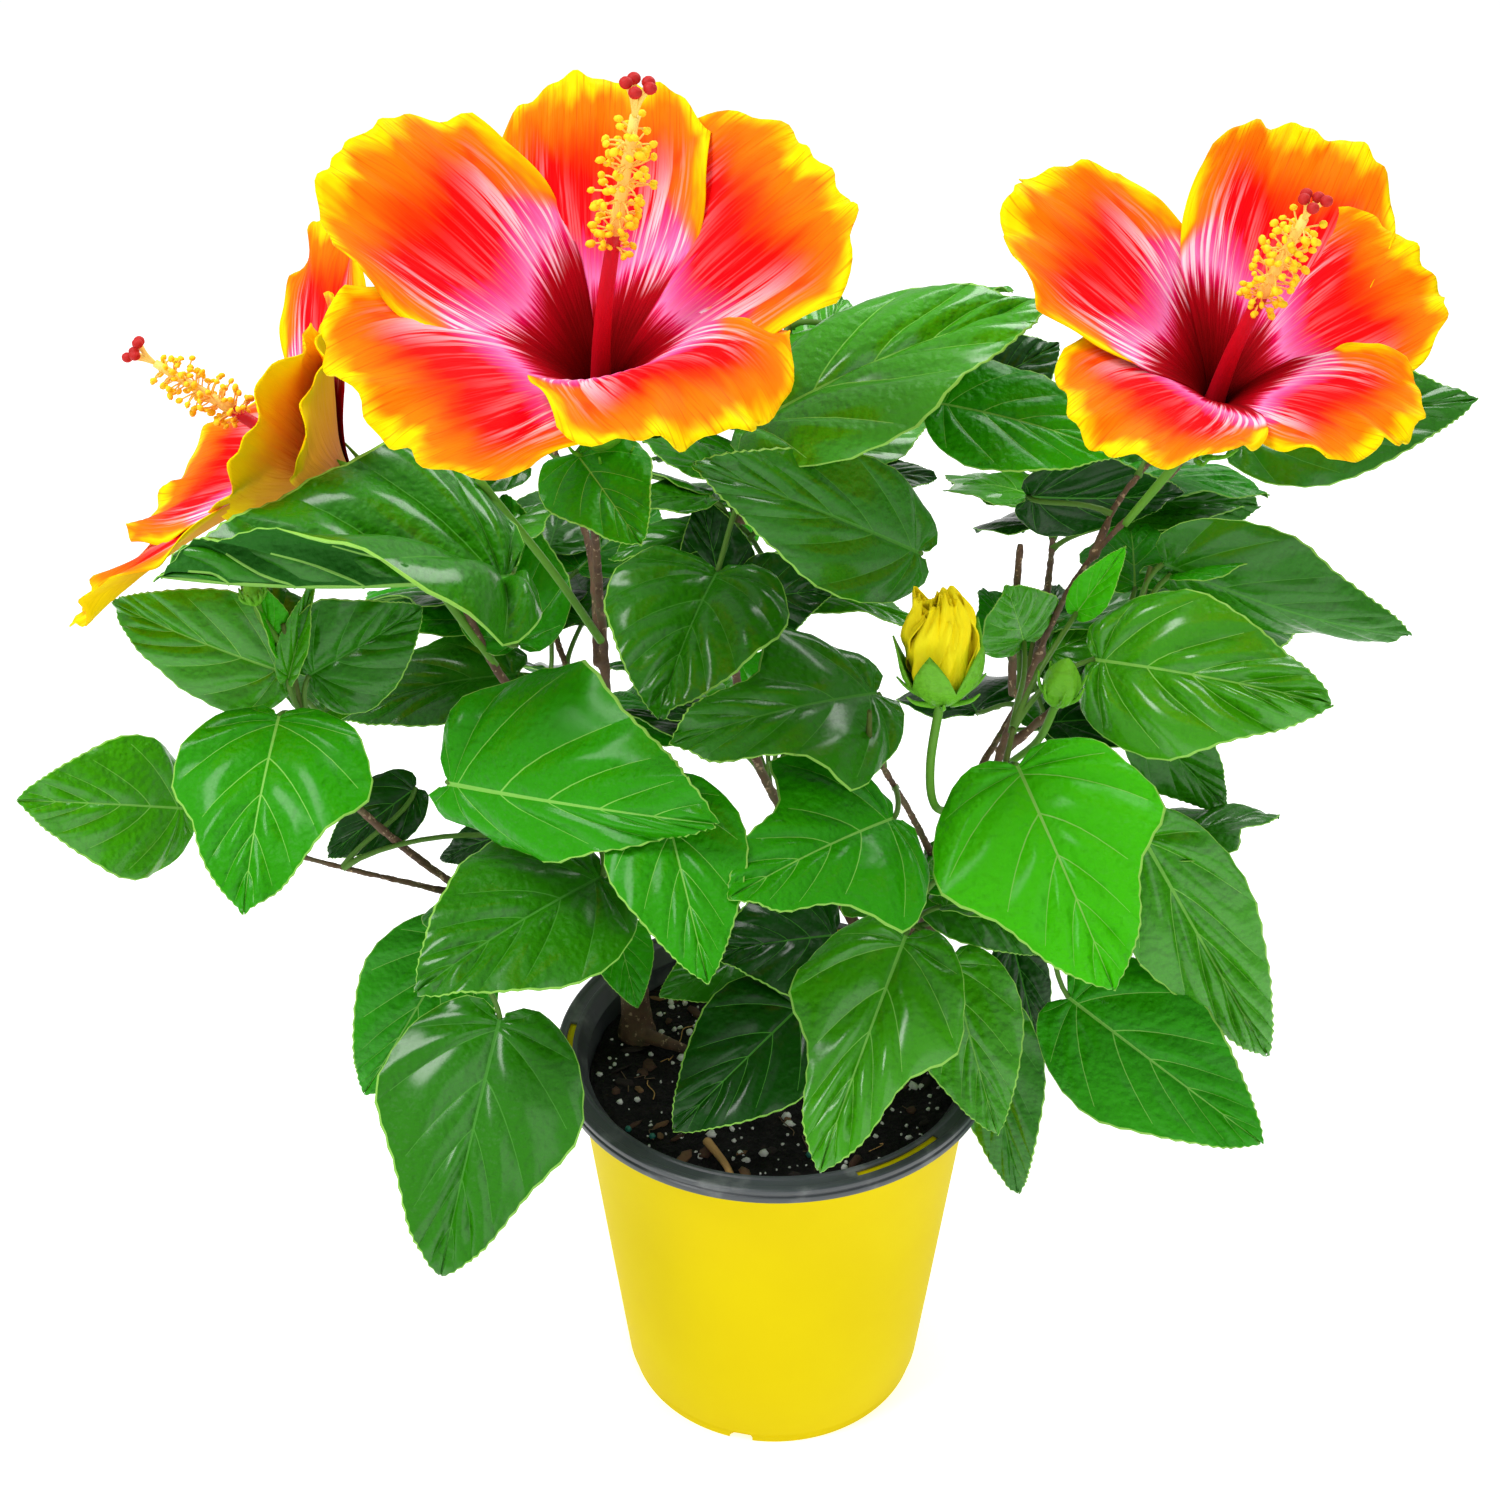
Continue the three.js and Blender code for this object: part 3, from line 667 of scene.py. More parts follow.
def grow_wood(name, limbs, snags):
    """The limbs and snags of one stem as a single skin, with leaf scars and bark relief."""
    wood = Bundle()
    for limb, (path, foot, tip) in limbs.items():
        line = smooth_path(path, 14)
        share = np.linspace(0, 1, len(line))
        steps = np.linalg.norm(np.diff(line, axis=0), axis=1)
        reach = np.concatenate([[0], np.cumsum(steps)])
        flare, slim = (3.4, 0.8) if limb.startswith("trunk") else (0.9, 0.56)
        radii = slim * (foot + (tip - foot) * share) + flare * np.exp(-share * 9)
        ring = (reach % SCAR_SPACING) / SCAR_SPACING - 0.5
        radii += 0.09 * radii * np.exp(-((ring * 9) ** 2))
        wood.add(*tube(line, radii, 12))
    for snag in snags:
        wood.add_stalk(*snag)
    stem = wood.piece(name, [bark], "bark", *limbs)
    pick(stem)
    skin = stem.modifiers.new("skin", "REMESH")
    skin.mode, skin.voxel_size, skin.use_smooth_shade = "VOXEL", WOOD_GRAIN * MM, True
    bpy.ops.object.modifier_apply(modifier="skin")
    ease = stem.modifiers.new("ease", "SMOOTH")
    ease.factor, ease.iterations = 0.5, 4
    bpy.ops.object.modifier_apply(modifier="ease")
    skin_mesh = stem.data
    places, ways = (np.zeros(3 * len(skin_mesh.vertices)) for _ in range(2))
    skin_mesh.vertices.foreach_get("co", places)
    skin_mesh.vertex_normals.foreach_get("vector", ways)
    places, ways = places.reshape(-1, 3), ways.reshape(-1, 3)
    relief = [
        noise.noise(Vector(place) / 4.2) * 0.3 + noise.noise(Vector(place) / 1.5) * 0.16
        for place in places / MM
    ]
    places += ways * np.array(relief)[:, None] * MM
    skin_mesh.vertices.foreach_set("co", places.ravel())
    skin_mesh.update()


surface_root = ([(-52, 17, 142), (-42, 12, 142), (-33, 10, 139.5)], 6, 3.4, 1.8, 10)
left_snag = ([(-92, 4, 208), (-97, 6, 219), (-98, 8, 226)], 5, 2.2, 1.7, 10)
right_snag = ([(80, 2, 300), (79, 2, 330), (79, 0, 358)], 6, 1.6, 1.4, 8)
grow_wood("woody_stem_left", LEFT_WOOD, [surface_root, left_snag])
grow_wood("woody_stem_right", RIGHT_WOOD, [right_snag])

# ---- Leaf blades ----------------------------------------------------------------------
# Glossy leathery leaves, heart-shaped at the foot, toothed, some with side lobes. Pale veins
# branch from the midrib, and the blade swells a little between them.

VEIN_FOOT = np.array((0, 0.012, 0.03, 0.05, 0.24, 0.43, 0.62, 0.8, 0.985))
VEIN_END = np.array((0.25, 1.2, 2.5, 4.0, 5.1, 5.9, 6.6, 7.25, 7.97))
ROWS_BETWEEN = np.array((2, 5, 6, 6, 6, 6, 4, 3))
ACROSS = np.array((0, 0.12, 0.26, 0.42, 0.58, 0.74, 0.88, 0.982, 1))
OVATE_FOOT = [(0, 0), (0.30, -0.06), (0.72, 0.03)]
OVATE_TIP = [(0.42, 0.82), (0.18, 0.94), (0, 1)]
OVATE = OVATE_FOOT + [(0.98, 0.22), (0.97, 0.42), (0.72, 0.64)] + OVATE_TIP
LOBED = OVATE_FOOT + [(1.0, 0.18), (1.22, 0.37), (0.62, 0.52)] + OVATE_TIP
BLADE_THICK = 0.38
VEIN_HALF = 0.021
TOOTH = 0.0069
RIB_HALF = 0.0075
RIB_GROOVE = 0.0045
SWELL = 0.026
WAVE = 0.028
CRUMPLE = 0.015
FOLDED_FROM_FOOT = 0.62
TO_LIGHT = np.array((0, -0.7, 0.72))


def outline_at(shape, marks):
    """The outline at each mark: its width and length, as shares of the blade's own."""
    line = smooth_path(shape, 40)
    at = np.linspace(0, len(shape) - 1, len(line))
    return np.stack([np.interp(marks, at, line[:, 0]), np.interp(marks, at, line[:, 1])], -1)


def blade_rows():
    """For each row across the blade: vein number, share of the way to the next vein, which side
    of a vein it edges, and how far its tooth stands out."""
    rows = []
    for vein, count in enumerate(ROWS_BETWEEN):
        rows.append((vein, 0.0, 0, 1.0))
        rows.append((vein, 0.0, 1, 0.8))
        for step in range(1, count):
            rows.append((vein, step / count, 0, 1.0 - step % 2))
        rows.append((vein, 1.0, -1, 0.8))
    rows.append((len(ROWS_BETWEEN) - 1, 1.0, 0, 0.0))
    return rows


row_vein, row_part, row_beside, row_tooth = np.array(blade_rows()).T
row_vein = row_vein.astype(int)
row_count = len(row_vein)
row_share = row_part[:, None] + row_beside[:, None] * VEIN_HALF * (1 - 0.8 * ACROSS)


def between_veins(marks):
    """A value given at each vein, blended from vein to vein over the rows."""
    return marks[row_vein][:, None] + (marks[row_vein + 1] - marks[row_vein])[:, None] * row_share


foot_at, end_at = between_veins(VEIN_FOOT), between_veins(VEIN_END)
ovate_rim, lobed_rim = outline_at(OVATE, end_at), outline_at(LOBED, end_at)
on_vein = (row_part % 1 == 0) & (row_beside == 0)
by_vein = row_beside != 0
crowding = np.minimum(1, ROWS_BETWEEN[row_vein] / 4)[:, None]
swell_rows = np.sin(pi * np.clip(row_share, 0, 1)) * crowding
tooth_rows = np.clip((end_at[:, -1] - 1.2) / 2.2, 0, 1)


def shell(top, thick):
    """Points and faces of a thin closed sheet, given the grid of its upper side."""
    rows, columns = top.shape[:2]
    over = np.cross(np.gradient(top, axis=1), np.gradient(top, axis=0))
    over /= np.maximum(np.linalg.norm(over, axis=2, keepdims=True), 1e-9)
    under = top - over * np.broadcast_to(thick, (rows, columns))[..., None]
    count = rows * columns
    at = np.arange(count).reshape(rows, columns)
    upper = np.stack([at[:-1, :-1], at[:-1, 1:], at[1:, 1:], at[1:, :-1]], -1).reshape(-1, 4)
    lower = upper[:, ::-1] + count
    first = np.concatenate([at[0, 1:], at[-1, :-1], at[:-1, 0], at[1:, -1]])
    second = np.concatenate([at[0, :-1], at[-1, 1:], at[1:, 0], at[:-1, -1]])
    rim = np.stack([first, second, second + count, first + count], -1)
    points = np.vstack([top.reshape(-1, 3), under.reshape(-1, 3)])
    return points, np.vstack([upper, lower, rim]).tolist(), len(upper)


# Leaf tones. The 'dark' tone is partly a darker green of the leaves themselves and partly painted shade
# for leaves deep inside the crown; dark and deep leaves take the dim vein and underside finishes.
TONES = ("lime", "bright", "fresh", "deep", "dark")
PALE_VEIN, DIM_VEIN, PALE_EDGE, UNDER, DIM_UNDER, RIB = 5, 6, 7, 8, 9, 10


def blade_looks(tone):
    """Which finish each face of a blade takes: blade, vein, edge strip or underside."""
    rows, columns = row_count, 2 * len(ACROSS) + 1
    middle = len(ACROSS)
    vein, under = (DIM_VEIN, DIM_UNDER) if tone in ("deep", "dark") else (PALE_VEIN, UNDER)
    upper = np.full((rows - 1, columns - 1), TONES.index(tone))
    lower = np.full((rows - 1, columns - 1), under)
    strip = (on_vein[:-1] & by_vein[1:]) | (by_vein[:-1] & on_vein[1:])
    upper[strip, 2:-2] = vein
    lower[strip, 3:-3] = RIB
    upper[:, [middle - 1, middle]] = vein
    upper[:, [0, -1]] = PALE_EDGE
    lower[:, [middle - 1, middle]] = RIB
    rim = np.full(2 * (rows - 1) + 2 * (columns - 1), PALE_EDGE)
    return np.concatenate([upper.ravel(), lower.ravel(), rim])


def swung(first, second, angle):
    """Two values across each other, both turned by an angle, the first toward the second."""
    along, over = np.cos(angle), np.sin(angle)
    return first * along + second * over, second * along - first * over


def blade(
    base, tip, width, roll=0, fold=14, edge=-10, droop=30, twist=0,
    lobe=0.0, wave=1.0, quilt=1.0, skew=0, curl=0, seed=0,
):
    """Grid of a blade's upper side: it runs from base to tip, its halves rise by `fold` at the
    midrib and turn down to `edge` at the rim, and it arches by `droop` along its length. With
    `curl`, one half is folded up and over by that much, most of all toward the tip."""
    dice = np.random.default_rng(seed)
    base, tip = np.array(base, float), np.array(tip, float)
    chord = np.linalg.norm(tip - base)
    shares = np.linspace(0, 1, 60)
    slope = -radians(droop) * shares**1.4
    run = np.concatenate([[0], np.cumsum(np.cos(slope[:-1]) / 59)])
    climb = np.concatenate([[0], np.cumsum(np.sin(slope[:-1]) / 59)])
    length = chord / np.hypot(run[-1], climb[-1])
    lean = np.arctan2(climb[-1], run[-1])
    halves = []
    tooth_size = TOOTH * length * tooth_rows
    for side in (-1, 1):
        rim = ovate_rim + (lobed_rim - ovate_rim) * min(1, max(0, lobe + dice.normal(0, 0.08)))
        half = width / 2 * dice.uniform(0.94, 1.06) * (1 + skew * side)
        rib = RIB_HALF * length * (1 - 0.85 * foot_at)
        across = rib + (rim[..., 0] * half - rib) * ACROSS**0.96
        along = foot_at + (rim[..., 1] - foot_at) * (0.66 * ACROSS + 0.34 * ACROSS**2)
        along = along * length
        outward = np.gradient(along[:, -1]), -np.gradient(across[:, -1])
        size = np.maximum(np.hypot(*outward), 1e-9)
        push = (tooth_size * (row_tooth - 0.35))[:, None] * ACROSS**14
        across = across + push * (outward[0] / size)[:, None]
        along = along + push * (outward[1] / size)[:, None]
        swell = SWELL * width * quilt * dice.uniform(0.75, 1.25)
        relief = swell * swell_rows * (4 * ACROSS * (1 - ACROSS)) ** 0.75
        waves = np.sin(end_at * dice.uniform(1.7, 2.5) + dice.uniform(0, 6.3))
        waves = waves + 0.4 * np.sin(end_at * 5.1 + dice.uniform(0, 6.3))
        relief = relief + wave * WAVE * width * ACROSS**2.5 * waves
        crumple = np.sin(7 * foot_at + 4 * ACROSS + dice.uniform(0, 6.3))
        crumple = crumple + np.sin(13 * foot_at - 6 * ACROSS + dice.uniform(0, 6.3))
        relief = relief + CRUMPLE * width * quilt * crumple * ACROSS * (1.3 - ACROSS)
        outer = np.clip((end_at - 2.5) / 2.5, 0, 1)
        over = radians(curl) * (FOLDED_FROM_FOOT + (1 - FOLDED_FROM_FOOT) * outer) * (side < 0)
        first = radians(fold) + over
        turn = first + (radians(edge) - radians(fold)) * across / (width / 2)
        bend = (radians(fold) - radians(edge)) / (width / 2)
        out = (np.sin(first) - np.sin(turn)) / bend - relief * np.sin(turn)
        rise = (np.cos(turn) - np.cos(first)) / bend + relief * np.cos(turn)
        halves.append((side * out, along, rise))
    midrib = foot_at[:, :1]
    centre = (0 * midrib, midrib * length, -RIB_GROOVE * length * (1 - midrib))
    across, along, rise = (
        np.hstack([left[:, ::-1], middle, right])
        for left, middle, right in zip(halves[0], centre, halves[1])
    )
    share = np.clip(along / length, 0, 1)
    across, rise = swung(across, rise, -radians(twist) * share)
    angle = np.interp(share, shares, slope)
    y = np.interp(share, shares, run) * length + np.minimum(along, 0) - rise * np.sin(angle)
    z = np.interp(share, shares, climb) * length + rise * np.cos(angle)
    y, z = swung(y, z, lean)
    forward = unit(tip - base)
    face = unit(TO_LIGHT - forward * TO_LIGHT.dot(forward))
    face, side = swung(face, np.cross(forward, face), radians(roll))
    return base + across[..., None] * side + y[..., None] * forward + z[..., None] * face


rib_thick = np.zeros((row_count, 2 * len(ACROSS) + 1))
rib_thick[on_vein] += 0.3 * np.concatenate([1 - ACROSS[::-1], [1], 1 - ACROSS])
rib_thick[:, len(ACROSS)] += 0.8 * (1 - 0.8 * foot_at[:, 0])
rib_thick[:, [len(ACROSS) - 1, len(ACROSS) + 1]] += 0.12


def leaf_finish(name, colour, roughness, gloss, grain=0.65):
    """Leathery green, with a waxy gloss over fine cells and creases."""
    look = Finish(name, colour, roughness, Coat_Weight=gloss)
    look.set(look.shader, {"Coat Roughness": 0.19, "Specular IOR Level": 0.08})
    spot = look.place()
    cells = look.add("TexVoronoi", {"feature": "SMOOTH_F1"}, Vector=spot, Scale=420.0)
    height = look.math("ADD", cells.outputs["Distance"], look.noise(spot, 260, 5.0))
    creases = look.noise(look.scaled(spot, (1, 1, 1.6)), 105, 3.0)
    look.bump(look.math("MULTIPLY_ADD", creases, 2.2, height), grain, 0.0015)
    return look


LEAF_LOOKS = [
    leaf_finish(*look)
    for look in (
        ("leaf_lime", (64, 186, 0), 0.45, 0.16),
        ("leaf_bright", (46, 150, 0), 0.42, 0.24),
        ("leaf_fresh", (62, 152, 0), 0.4, 0.8),
        ("leaf_deep", (44, 122, 0), 0.4, 0.6),
        # leaf_dark: partly the leaves' own darker green, partly painted shade for leaves inside the
        # crown.
        ("leaf_dark", (18, 74, 4), 0.4, 0.44),
        ("vein_pale", (128, 196, 84), 0.45, 0.1, 0.1),
        ("vein_dim", (76, 146, 54), 0.45, 0.1, 0.1),
        ("leaf_edge", (140, 200, 84), 0.45, 0.1, 0.1),
        ("leaf_underside", (80, 150, 40), 0.55, 0.0, 0.6),
        ("leaf_underside_dim", (44, 106, 36), 0.55, 0.0, 0.6),
        ("underside_rib", (130, 186, 84), 0.55, 0.0, 0.1),
    )
]

# ---- Shoots and petioles --------------------------------------------------------------
# A green shoot grows on from the end of each bough to a tuft of young leaves, and each leaf
# hangs from it by a round stalk that is a little swollen at its foot.

# A tuft: its bough, its shoot's tip, how many small leaves fill it, and their headings.
TUFTS = {
    "left": ("bough_left", (-160, -22, 340), 2, 70, 150),
    "far_left": ("bough_far_left", (-202, -12, 264), 1, 90, 130),
    "upper_left": ("bough_upper_left", (-118, 0, 382), 4, 30, 150),
    "middle_left": ("bough_middle_left", (-80, -50, 322), 3, 40, 110),
    "front_left": ("bough_front_left", (-104, -62, 232), 2, 60, 120),
    "middle": ("bough_middle", (-12, 16, 372), 7, -30, 200),
    "inner": ("bough_inner", (28, -54, 326), 5, 30, 150),
    "front": ("bough_front", (46, -44, 252), 4, 20, 160),
    "front_right": ("bough_front_right", (74, -50, 318), 4, 20, 140),
    "low_right": ("bough_low_right", (116, -18, 242), 3, 20, 110),
    "right": ("bough_far_right", (124, 8, 346), 3, 0, 120),
    "top": ("bough_top", (4, 20, 428), 6, 0, 190),
    "top_right": ("bough_top_right", (132, 26, 398), 3, 10, 110),
    "back_left": ("bough_back_left", (-92, 98, 308), 13, 40, 210),
    "back_right": ("bough_back_right", (100, 94, 276), 13, -40, 120),
    "back": ("bough_back", (8, 102, 356), 14, -20, 200),
    "back_low": ("bough_back_low", (-12, 82, 254), 12, -20, 200),
    "back_upper_left": ("bough_back_upper_left", (-86, 88, 388), 13, 20, 210),
    "back_upper_right": ("bough_back_upper_right", (106, 96, 352), 12, -30, 140),
}
ALL_WOOD = {**LEFT_WOOD, **RIGHT_WOOD}
shoot_lines, shoots, petioles = {}, Bundle(), Bundle()
for mass, (bough, apex, *_) in TUFTS.items():
    path, _, thick = ALL_WOOD[bough]
    wood_end = smooth_path(path, 12)[-16:]
    grown = smooth_path([wood_end[-4], wood_end[-1], apex], 10)[10:]
    shoot_lines[mass] = np.vstack([wood_end[:-1], grown])
    shoots.add(*tube(grown, np.linspace(thick * 0.6, 0.8, len(grown)), 9))


def petiole(mass, base, toward, reach=24):
    """A leaf stalk from the shoot to a blade's foot, arched to meet the midrib."""
    line = shoot_lines[mass]
    away = np.linalg.norm(line - base, axis=1)
    node = line[np.argmin(np.abs(away - max(reach, away.min())) + 0.3 * (line[:, 2] > base[2]))]
    span = np.linalg.norm(base - node)
    start = unit(unit(base - node) + (0, 0, 0.5)) * span
    finish = unit(unit(base - node) + 0.8 * unit(toward)) * span
    t = np.linspace(0, 1, 9)[:, None]
    curve = (
        (2 * t**3 - 3 * t**2 + 1) * node
        + (t**3 - 2 * t**2 + t) * start
        + (3 * t**2 - 2 * t**3) * base
        + (t**3 - t**2) * finish
    )
    radii = 0.95 + 0.55 * np.exp(-np.linspace(0, 1, 9) * 12)
    petioles.add(*tube(curve, radii, 7))


def add_leaf(bundle, mass, base, tip, width, tone, stalk=24, **shape):
    """One leaf with its stalk. `stalk` is how far from its foot the stalk joins the shoot."""
    top = blade(base, tip, width, **shape)
    points, faces, _ = shell(top, BLADE_THICK + rib_thick)
    bundle.add(points, faces, blade_looks(tone))
    petiole(mass, np.array(base, float), np.array(tip, float) - base, stalk)


# ---- Foliage --------------------------------------------------------------------------
# Nineteen tufts of leaves. The large leaves on the near side are set one by one, as they
# hang; the rest follow the plant's own spiral, each turned 137.5 degrees on from the last.

# A large leaf: its foot, its tip, its width, tone, roll, fold and droop, and what else it has.
NEAR_LEAVES = {
    "left": [
        ((-162, -34, 313), (-168, -86, 271), 62, "bright", 4, 6, 28, dict(lobe=0.3)),
        ((-162, -20, 321), (-219, -8, 341), 40, "fresh", -30, 10, 24),
        ((-154, -20, 320), (-117, -8, 339), 42, "deep", 34, 20, 18),
        ((-160, -24, 321), (-150, -14, 352), 13, "fresh", 0, 50, 8, dict(edge=30)),
        ((-163, -22, 330), (-172, -18, 356), 14, "lime", 40, 50, 30, dict(edge=30)),
    ],
    "far_left": [
        ((-128, 10, 258), (-160, 0, 235), 26, "dark", 0, 8, 20, dict(seed=45)),
        ((-99, 0, 244), (-121, 6, 230), 15, "dark", 0, 8, 20, dict(seed=46)),
        ((-205, -10, 262), (-248, -46, 288), 50, "fresh", -14, 0, 26),
    ],
    "upper_left": [
        (
            (-83, -40, 366), (-186, -62, 377), 82, "deep", -46, -42, 30,
            dict(curl=210, skew=0.12, edge=-60, wave=1.6, quilt=2.3),
        ),
        ((-90, 20, 310), (-95, 50, 354), 40, "bright", 0, 10, 14),
    ],
    "middle_left": [
        (
            (-107, -50, 297), (-19, -96, 311), 66, "bright", 22, -6, 26,
            dict(skew=-0.42, edge=-32, lobe=0.2, wave=1.6),
        ),
        ((-58, -50, 261), (-115, -95, 247), 62, "deep", 14, 6, 24),
        ((-58, 0, 206), (-50, -20, 183), 22, "bright", 0, 12, 20, dict(seed=40)),
        ((-10, 0, 192), (-42, -22, 190), 26, "deep", 0, 8, 30, dict(seed=41)),
        ((-37, -70, 307), (-22, -118, 268), 44, "bright", 0, 12, 20),
    ],
    "front_left": [
        ((-94, -60, 210), (-113, -112, 141), 64, "deep", -4, 10, 24, dict(lobe=0.2, quilt=1.3)),
        ((-112, -20, 216), (-149, -35, 156), 46, "bright", -24, 10, 20),
    ],
    "middle": [
        ((-20, -8, 352), (-38, -52, 322), 62, "deep", 10, 22, 40),
        ((-19, 12, 335), (-26, 20, 366), 26, "dark", 0, 12, 10),
        ((-11, 10, 333), (18, -5, 344), 30, "dark", 20, 16, 20),
        ((44, -30, 369), (-26, -55, 410), 46, "deep", -10, 4, 16),
    ],
    "inner": [
        ((32, -30, 319), (-34, -75, 326), 52, "deep", 8, 8, 26, dict(lobe=0.9)),
        ((37, -55, 287), (-16, -102, 288), 58, "bright", 6, 8, 28, dict(lobe=0.8)),
    ],
    "front": [
        ((9, -32, 194), (-36, -66, 165), 48, "dark", 0, 10, 20),
        ((22, -4, 204), (-23, -30, 215), 46, "dark", 0, 10, 24, dict(seed=42)),
        ((54, 10, 226), (97, -6, 197), 36, "deep", 0, 14, 24, dict(seed=43)),
        ((88, 12, 190), (101, 4, 141), 22, "dark", 0, 12, 16, dict(seed=44)),
        ((43, -50, 237), (13, -108, 184), 52, "fresh", 4, 12, 26, dict(lobe=0.6, quilt=1.6)),
        ((60, -35, 216), (76, -70, 167), 42, "fresh", 16, 10, 18),
        ((76, -15, 183), (90, -40, 112), 36, "deep", 24, 12, 18),
    ],
    "front_right": [
        ((76, -50, 304), (103, -105, 256), 70, "lime", 6, 4, 30, dict(lobe=0.4)),
        ((103, -20, 326), (174, -50, 326), 58, "fresh", 8, 2, 34, dict(quilt=2.1)),
        ((82, -4, 324), (74, -10, 348), 32, "fresh", 0, 6, 10),
        ((98, -8, 337), (112, -8, 361), 14, "lime", 0, 30, 8, dict(edge=10)),
    ],
    "low_right": [
        ((105, -20, 188), (171, -60, 154), 56, "bright", 14, 8, 22),
        ((126, -10, 253), (177, -30, 169), 47, "fresh", 18, 16, 22, dict(quilt=2.3)),
    ],
    "right": [
        ((128, 8, 347), (215, 8, 320), 48, "deep", 58, -24, 30, dict(edge=-44)),
        ((128, 15, 283), (163, 20, 243), 30, "deep", 20, 16, 20),
    ],
    "top": [
        ((-60, -55, 413), (-40, -88, 399), 34, "bright", 0, 14, 22),
        ((-12, -20, 406), (86, 15, 433), 70, "fresh", -30, 24, 24, dict(edge=-30, quilt=1.5)),
        ((51, 10, 403), (109, 0, 389), 40, "bright", -10, 10, 24),
        ((60, 30, 396), (94, 50, 408), 34, "dark", 0, 10, 14),
    ],
    "top_right": [
        ((150, 20, 387), (230, 30, 396), 46, "deep", 0, 10, 22),
        ((83, 20, 366), (138, 35, 361), 34, "dark", 62, 10, 16),
    ],
}
GOLDEN = 137.5
MOST_TRIES = 60
SHORTEST = 30
# The 'dark' tone among these is partly painted shade for leaves deep inside the crown.
FILL_TONES = ("deep", "dark", "fresh", "deep", "bright")


def reach_in_box(start, way, low, high):
    """How far a line from start goes before it leaves the box."""
    return max(0.0, np.min((np.where(way > 0, high, low) - start) / way))


def clear_of_pot(place):
    return place[2] > POT_HEIGHT + 4 or np.hypot(place[0], place[1]) > RIM_RADIUS + 8


near_seeds = iter(range(1, 40))
for order, (mass, (_, _, count, turn_from, turn_to)) in enumerate(TUFTS.items()):
    leaves = Bundle()
    dice = np.random.default_rng(100 + order)
    for base, tip, width, tone, roll, fold, droop, *more in NEAR_LEAVES.get(mass, []):
        shape = {"roll": roll, "fold": fold, "droop": droop, **dict(*more)}
        shape["seed"] = shape.get("seed") or next(near_seeds)
        add_leaf(leaves, mass, base, tip, width, tone, **shape)
    low, high = (np.array(corner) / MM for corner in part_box("foliage_" + mass))
    line = shoot_lines[mass]
    turn = dice.uniform(0, 360)
    placed = tries = 0
    while placed < count and tries < MOST_TRIES:
        turn, tries = turn + GOLDEN, tries + 1
        heading = turn_from + (turn % 360) / 360 * (turn_to - turn_from)
        share = (placed + 0.5) / count
        node = line[int((len(line) - 1) * (0.35 + 0.6 * share))]
        heading, climb = radians(heading), radians(dice.uniform(-24, 4) + 34 * share)
        way = np.array((cos(heading) * cos(climb), sin(heading) * cos(climb), sin(climb)))
        room = reach_in_box(node, way, low, high)
        length = min(room * 0.78, dice.uniform(58, 84) * (1 - 0.3 * share))
        if length < SHORTEST:
            continue
        foot = node + way * min(room - length, dice.uniform(18, 34)) + (0, 0, 4)
        tip = foot + way * length - (0, 0, 0.16 * length)
        if not (clear_of_pot(tip) and clear_of_pot(foot)):
            continue
        tone = FILL_TONES[int(dice.integers(0, 5))]
        face = unit(np.array((0, 0, 1.0)) + 0.5 * way)
        face = unit(face - way * face.dot(way))
        front = unit(TO_LIGHT - way * TO_LIGHT.dot(way))
        roll = np.degrees(np.arctan2(np.dot(np.cross(way, front), face), front.dot(face)))
        width = length * dice.uniform(0.6, 0.74)
        shape = {
            "roll": roll + dice.normal(0, 12),
            "fold": dice.uniform(6, 18),
            "droop": dice.uniform(18, 40),
            "twist": dice.normal(0, 8),
            "lobe": dice.choice((0.0, 0.0, 0.4, 0.8)),
        }
        add_leaf(leaves, mass, foot, tip, width, tone, 22, seed=1000 * order + tries, **shape)
        placed += 1
    leaves.piece("leaves_" + mass, LEAF_LOOKS, "foliage", "foliage_" + mass)

# ---- Petals ---------------------------------------------------------------------------
# Each bloom has five broad thin petals that overlap round a funnel. From the throat out they
# are crimson, streaked pink and white, red, orange, and yellow along a ruffled edge.

PETAL_ROWS, PETAL_COLUMNS = 44, 45
PETAL_THICK = 0.45
THROAT_SLOPE = 74
FUNNEL_EASE = 0.2


def petal_finish(name, colour, roughness, streak_scale):
    """A finish laid out on the petal's own map. With it come the map, how far out to the side
    and how far along from the throat a place is, fine streaks, and the gap to the edge."""
    look = Finish(name, colour, roughness, Specular_IOR_Level=0.05)
    mapped = look.add("UVMap", {"uv_map": "petal"}).outputs["UV"]
    parts = look.add("SeparateXYZ", Vector=mapped)
    across, along = look.math("MULTIPLY_ADD", parts.outputs[0], 2.0, -1.0), parts.outputs[1]
    outer = look.math("ABSOLUTE", across)
    side = look.times(look.rest(outer), 0.7)
    side = look.math("ADD", side, look.rest(look.ease(along, 0.34, 0.66)))
    near = look.math("MINIMUM", look.rest(along), side)
    wander = look.streaks(mapped, 7, 2.4)
    edge_gap = look.math("MULTIPLY_ADD", wander, 0.34, look.math("ADD", near, -0.18))
    return look, mapped, outer, along, look.streaks(mapped, *streak_scale), edge_gap


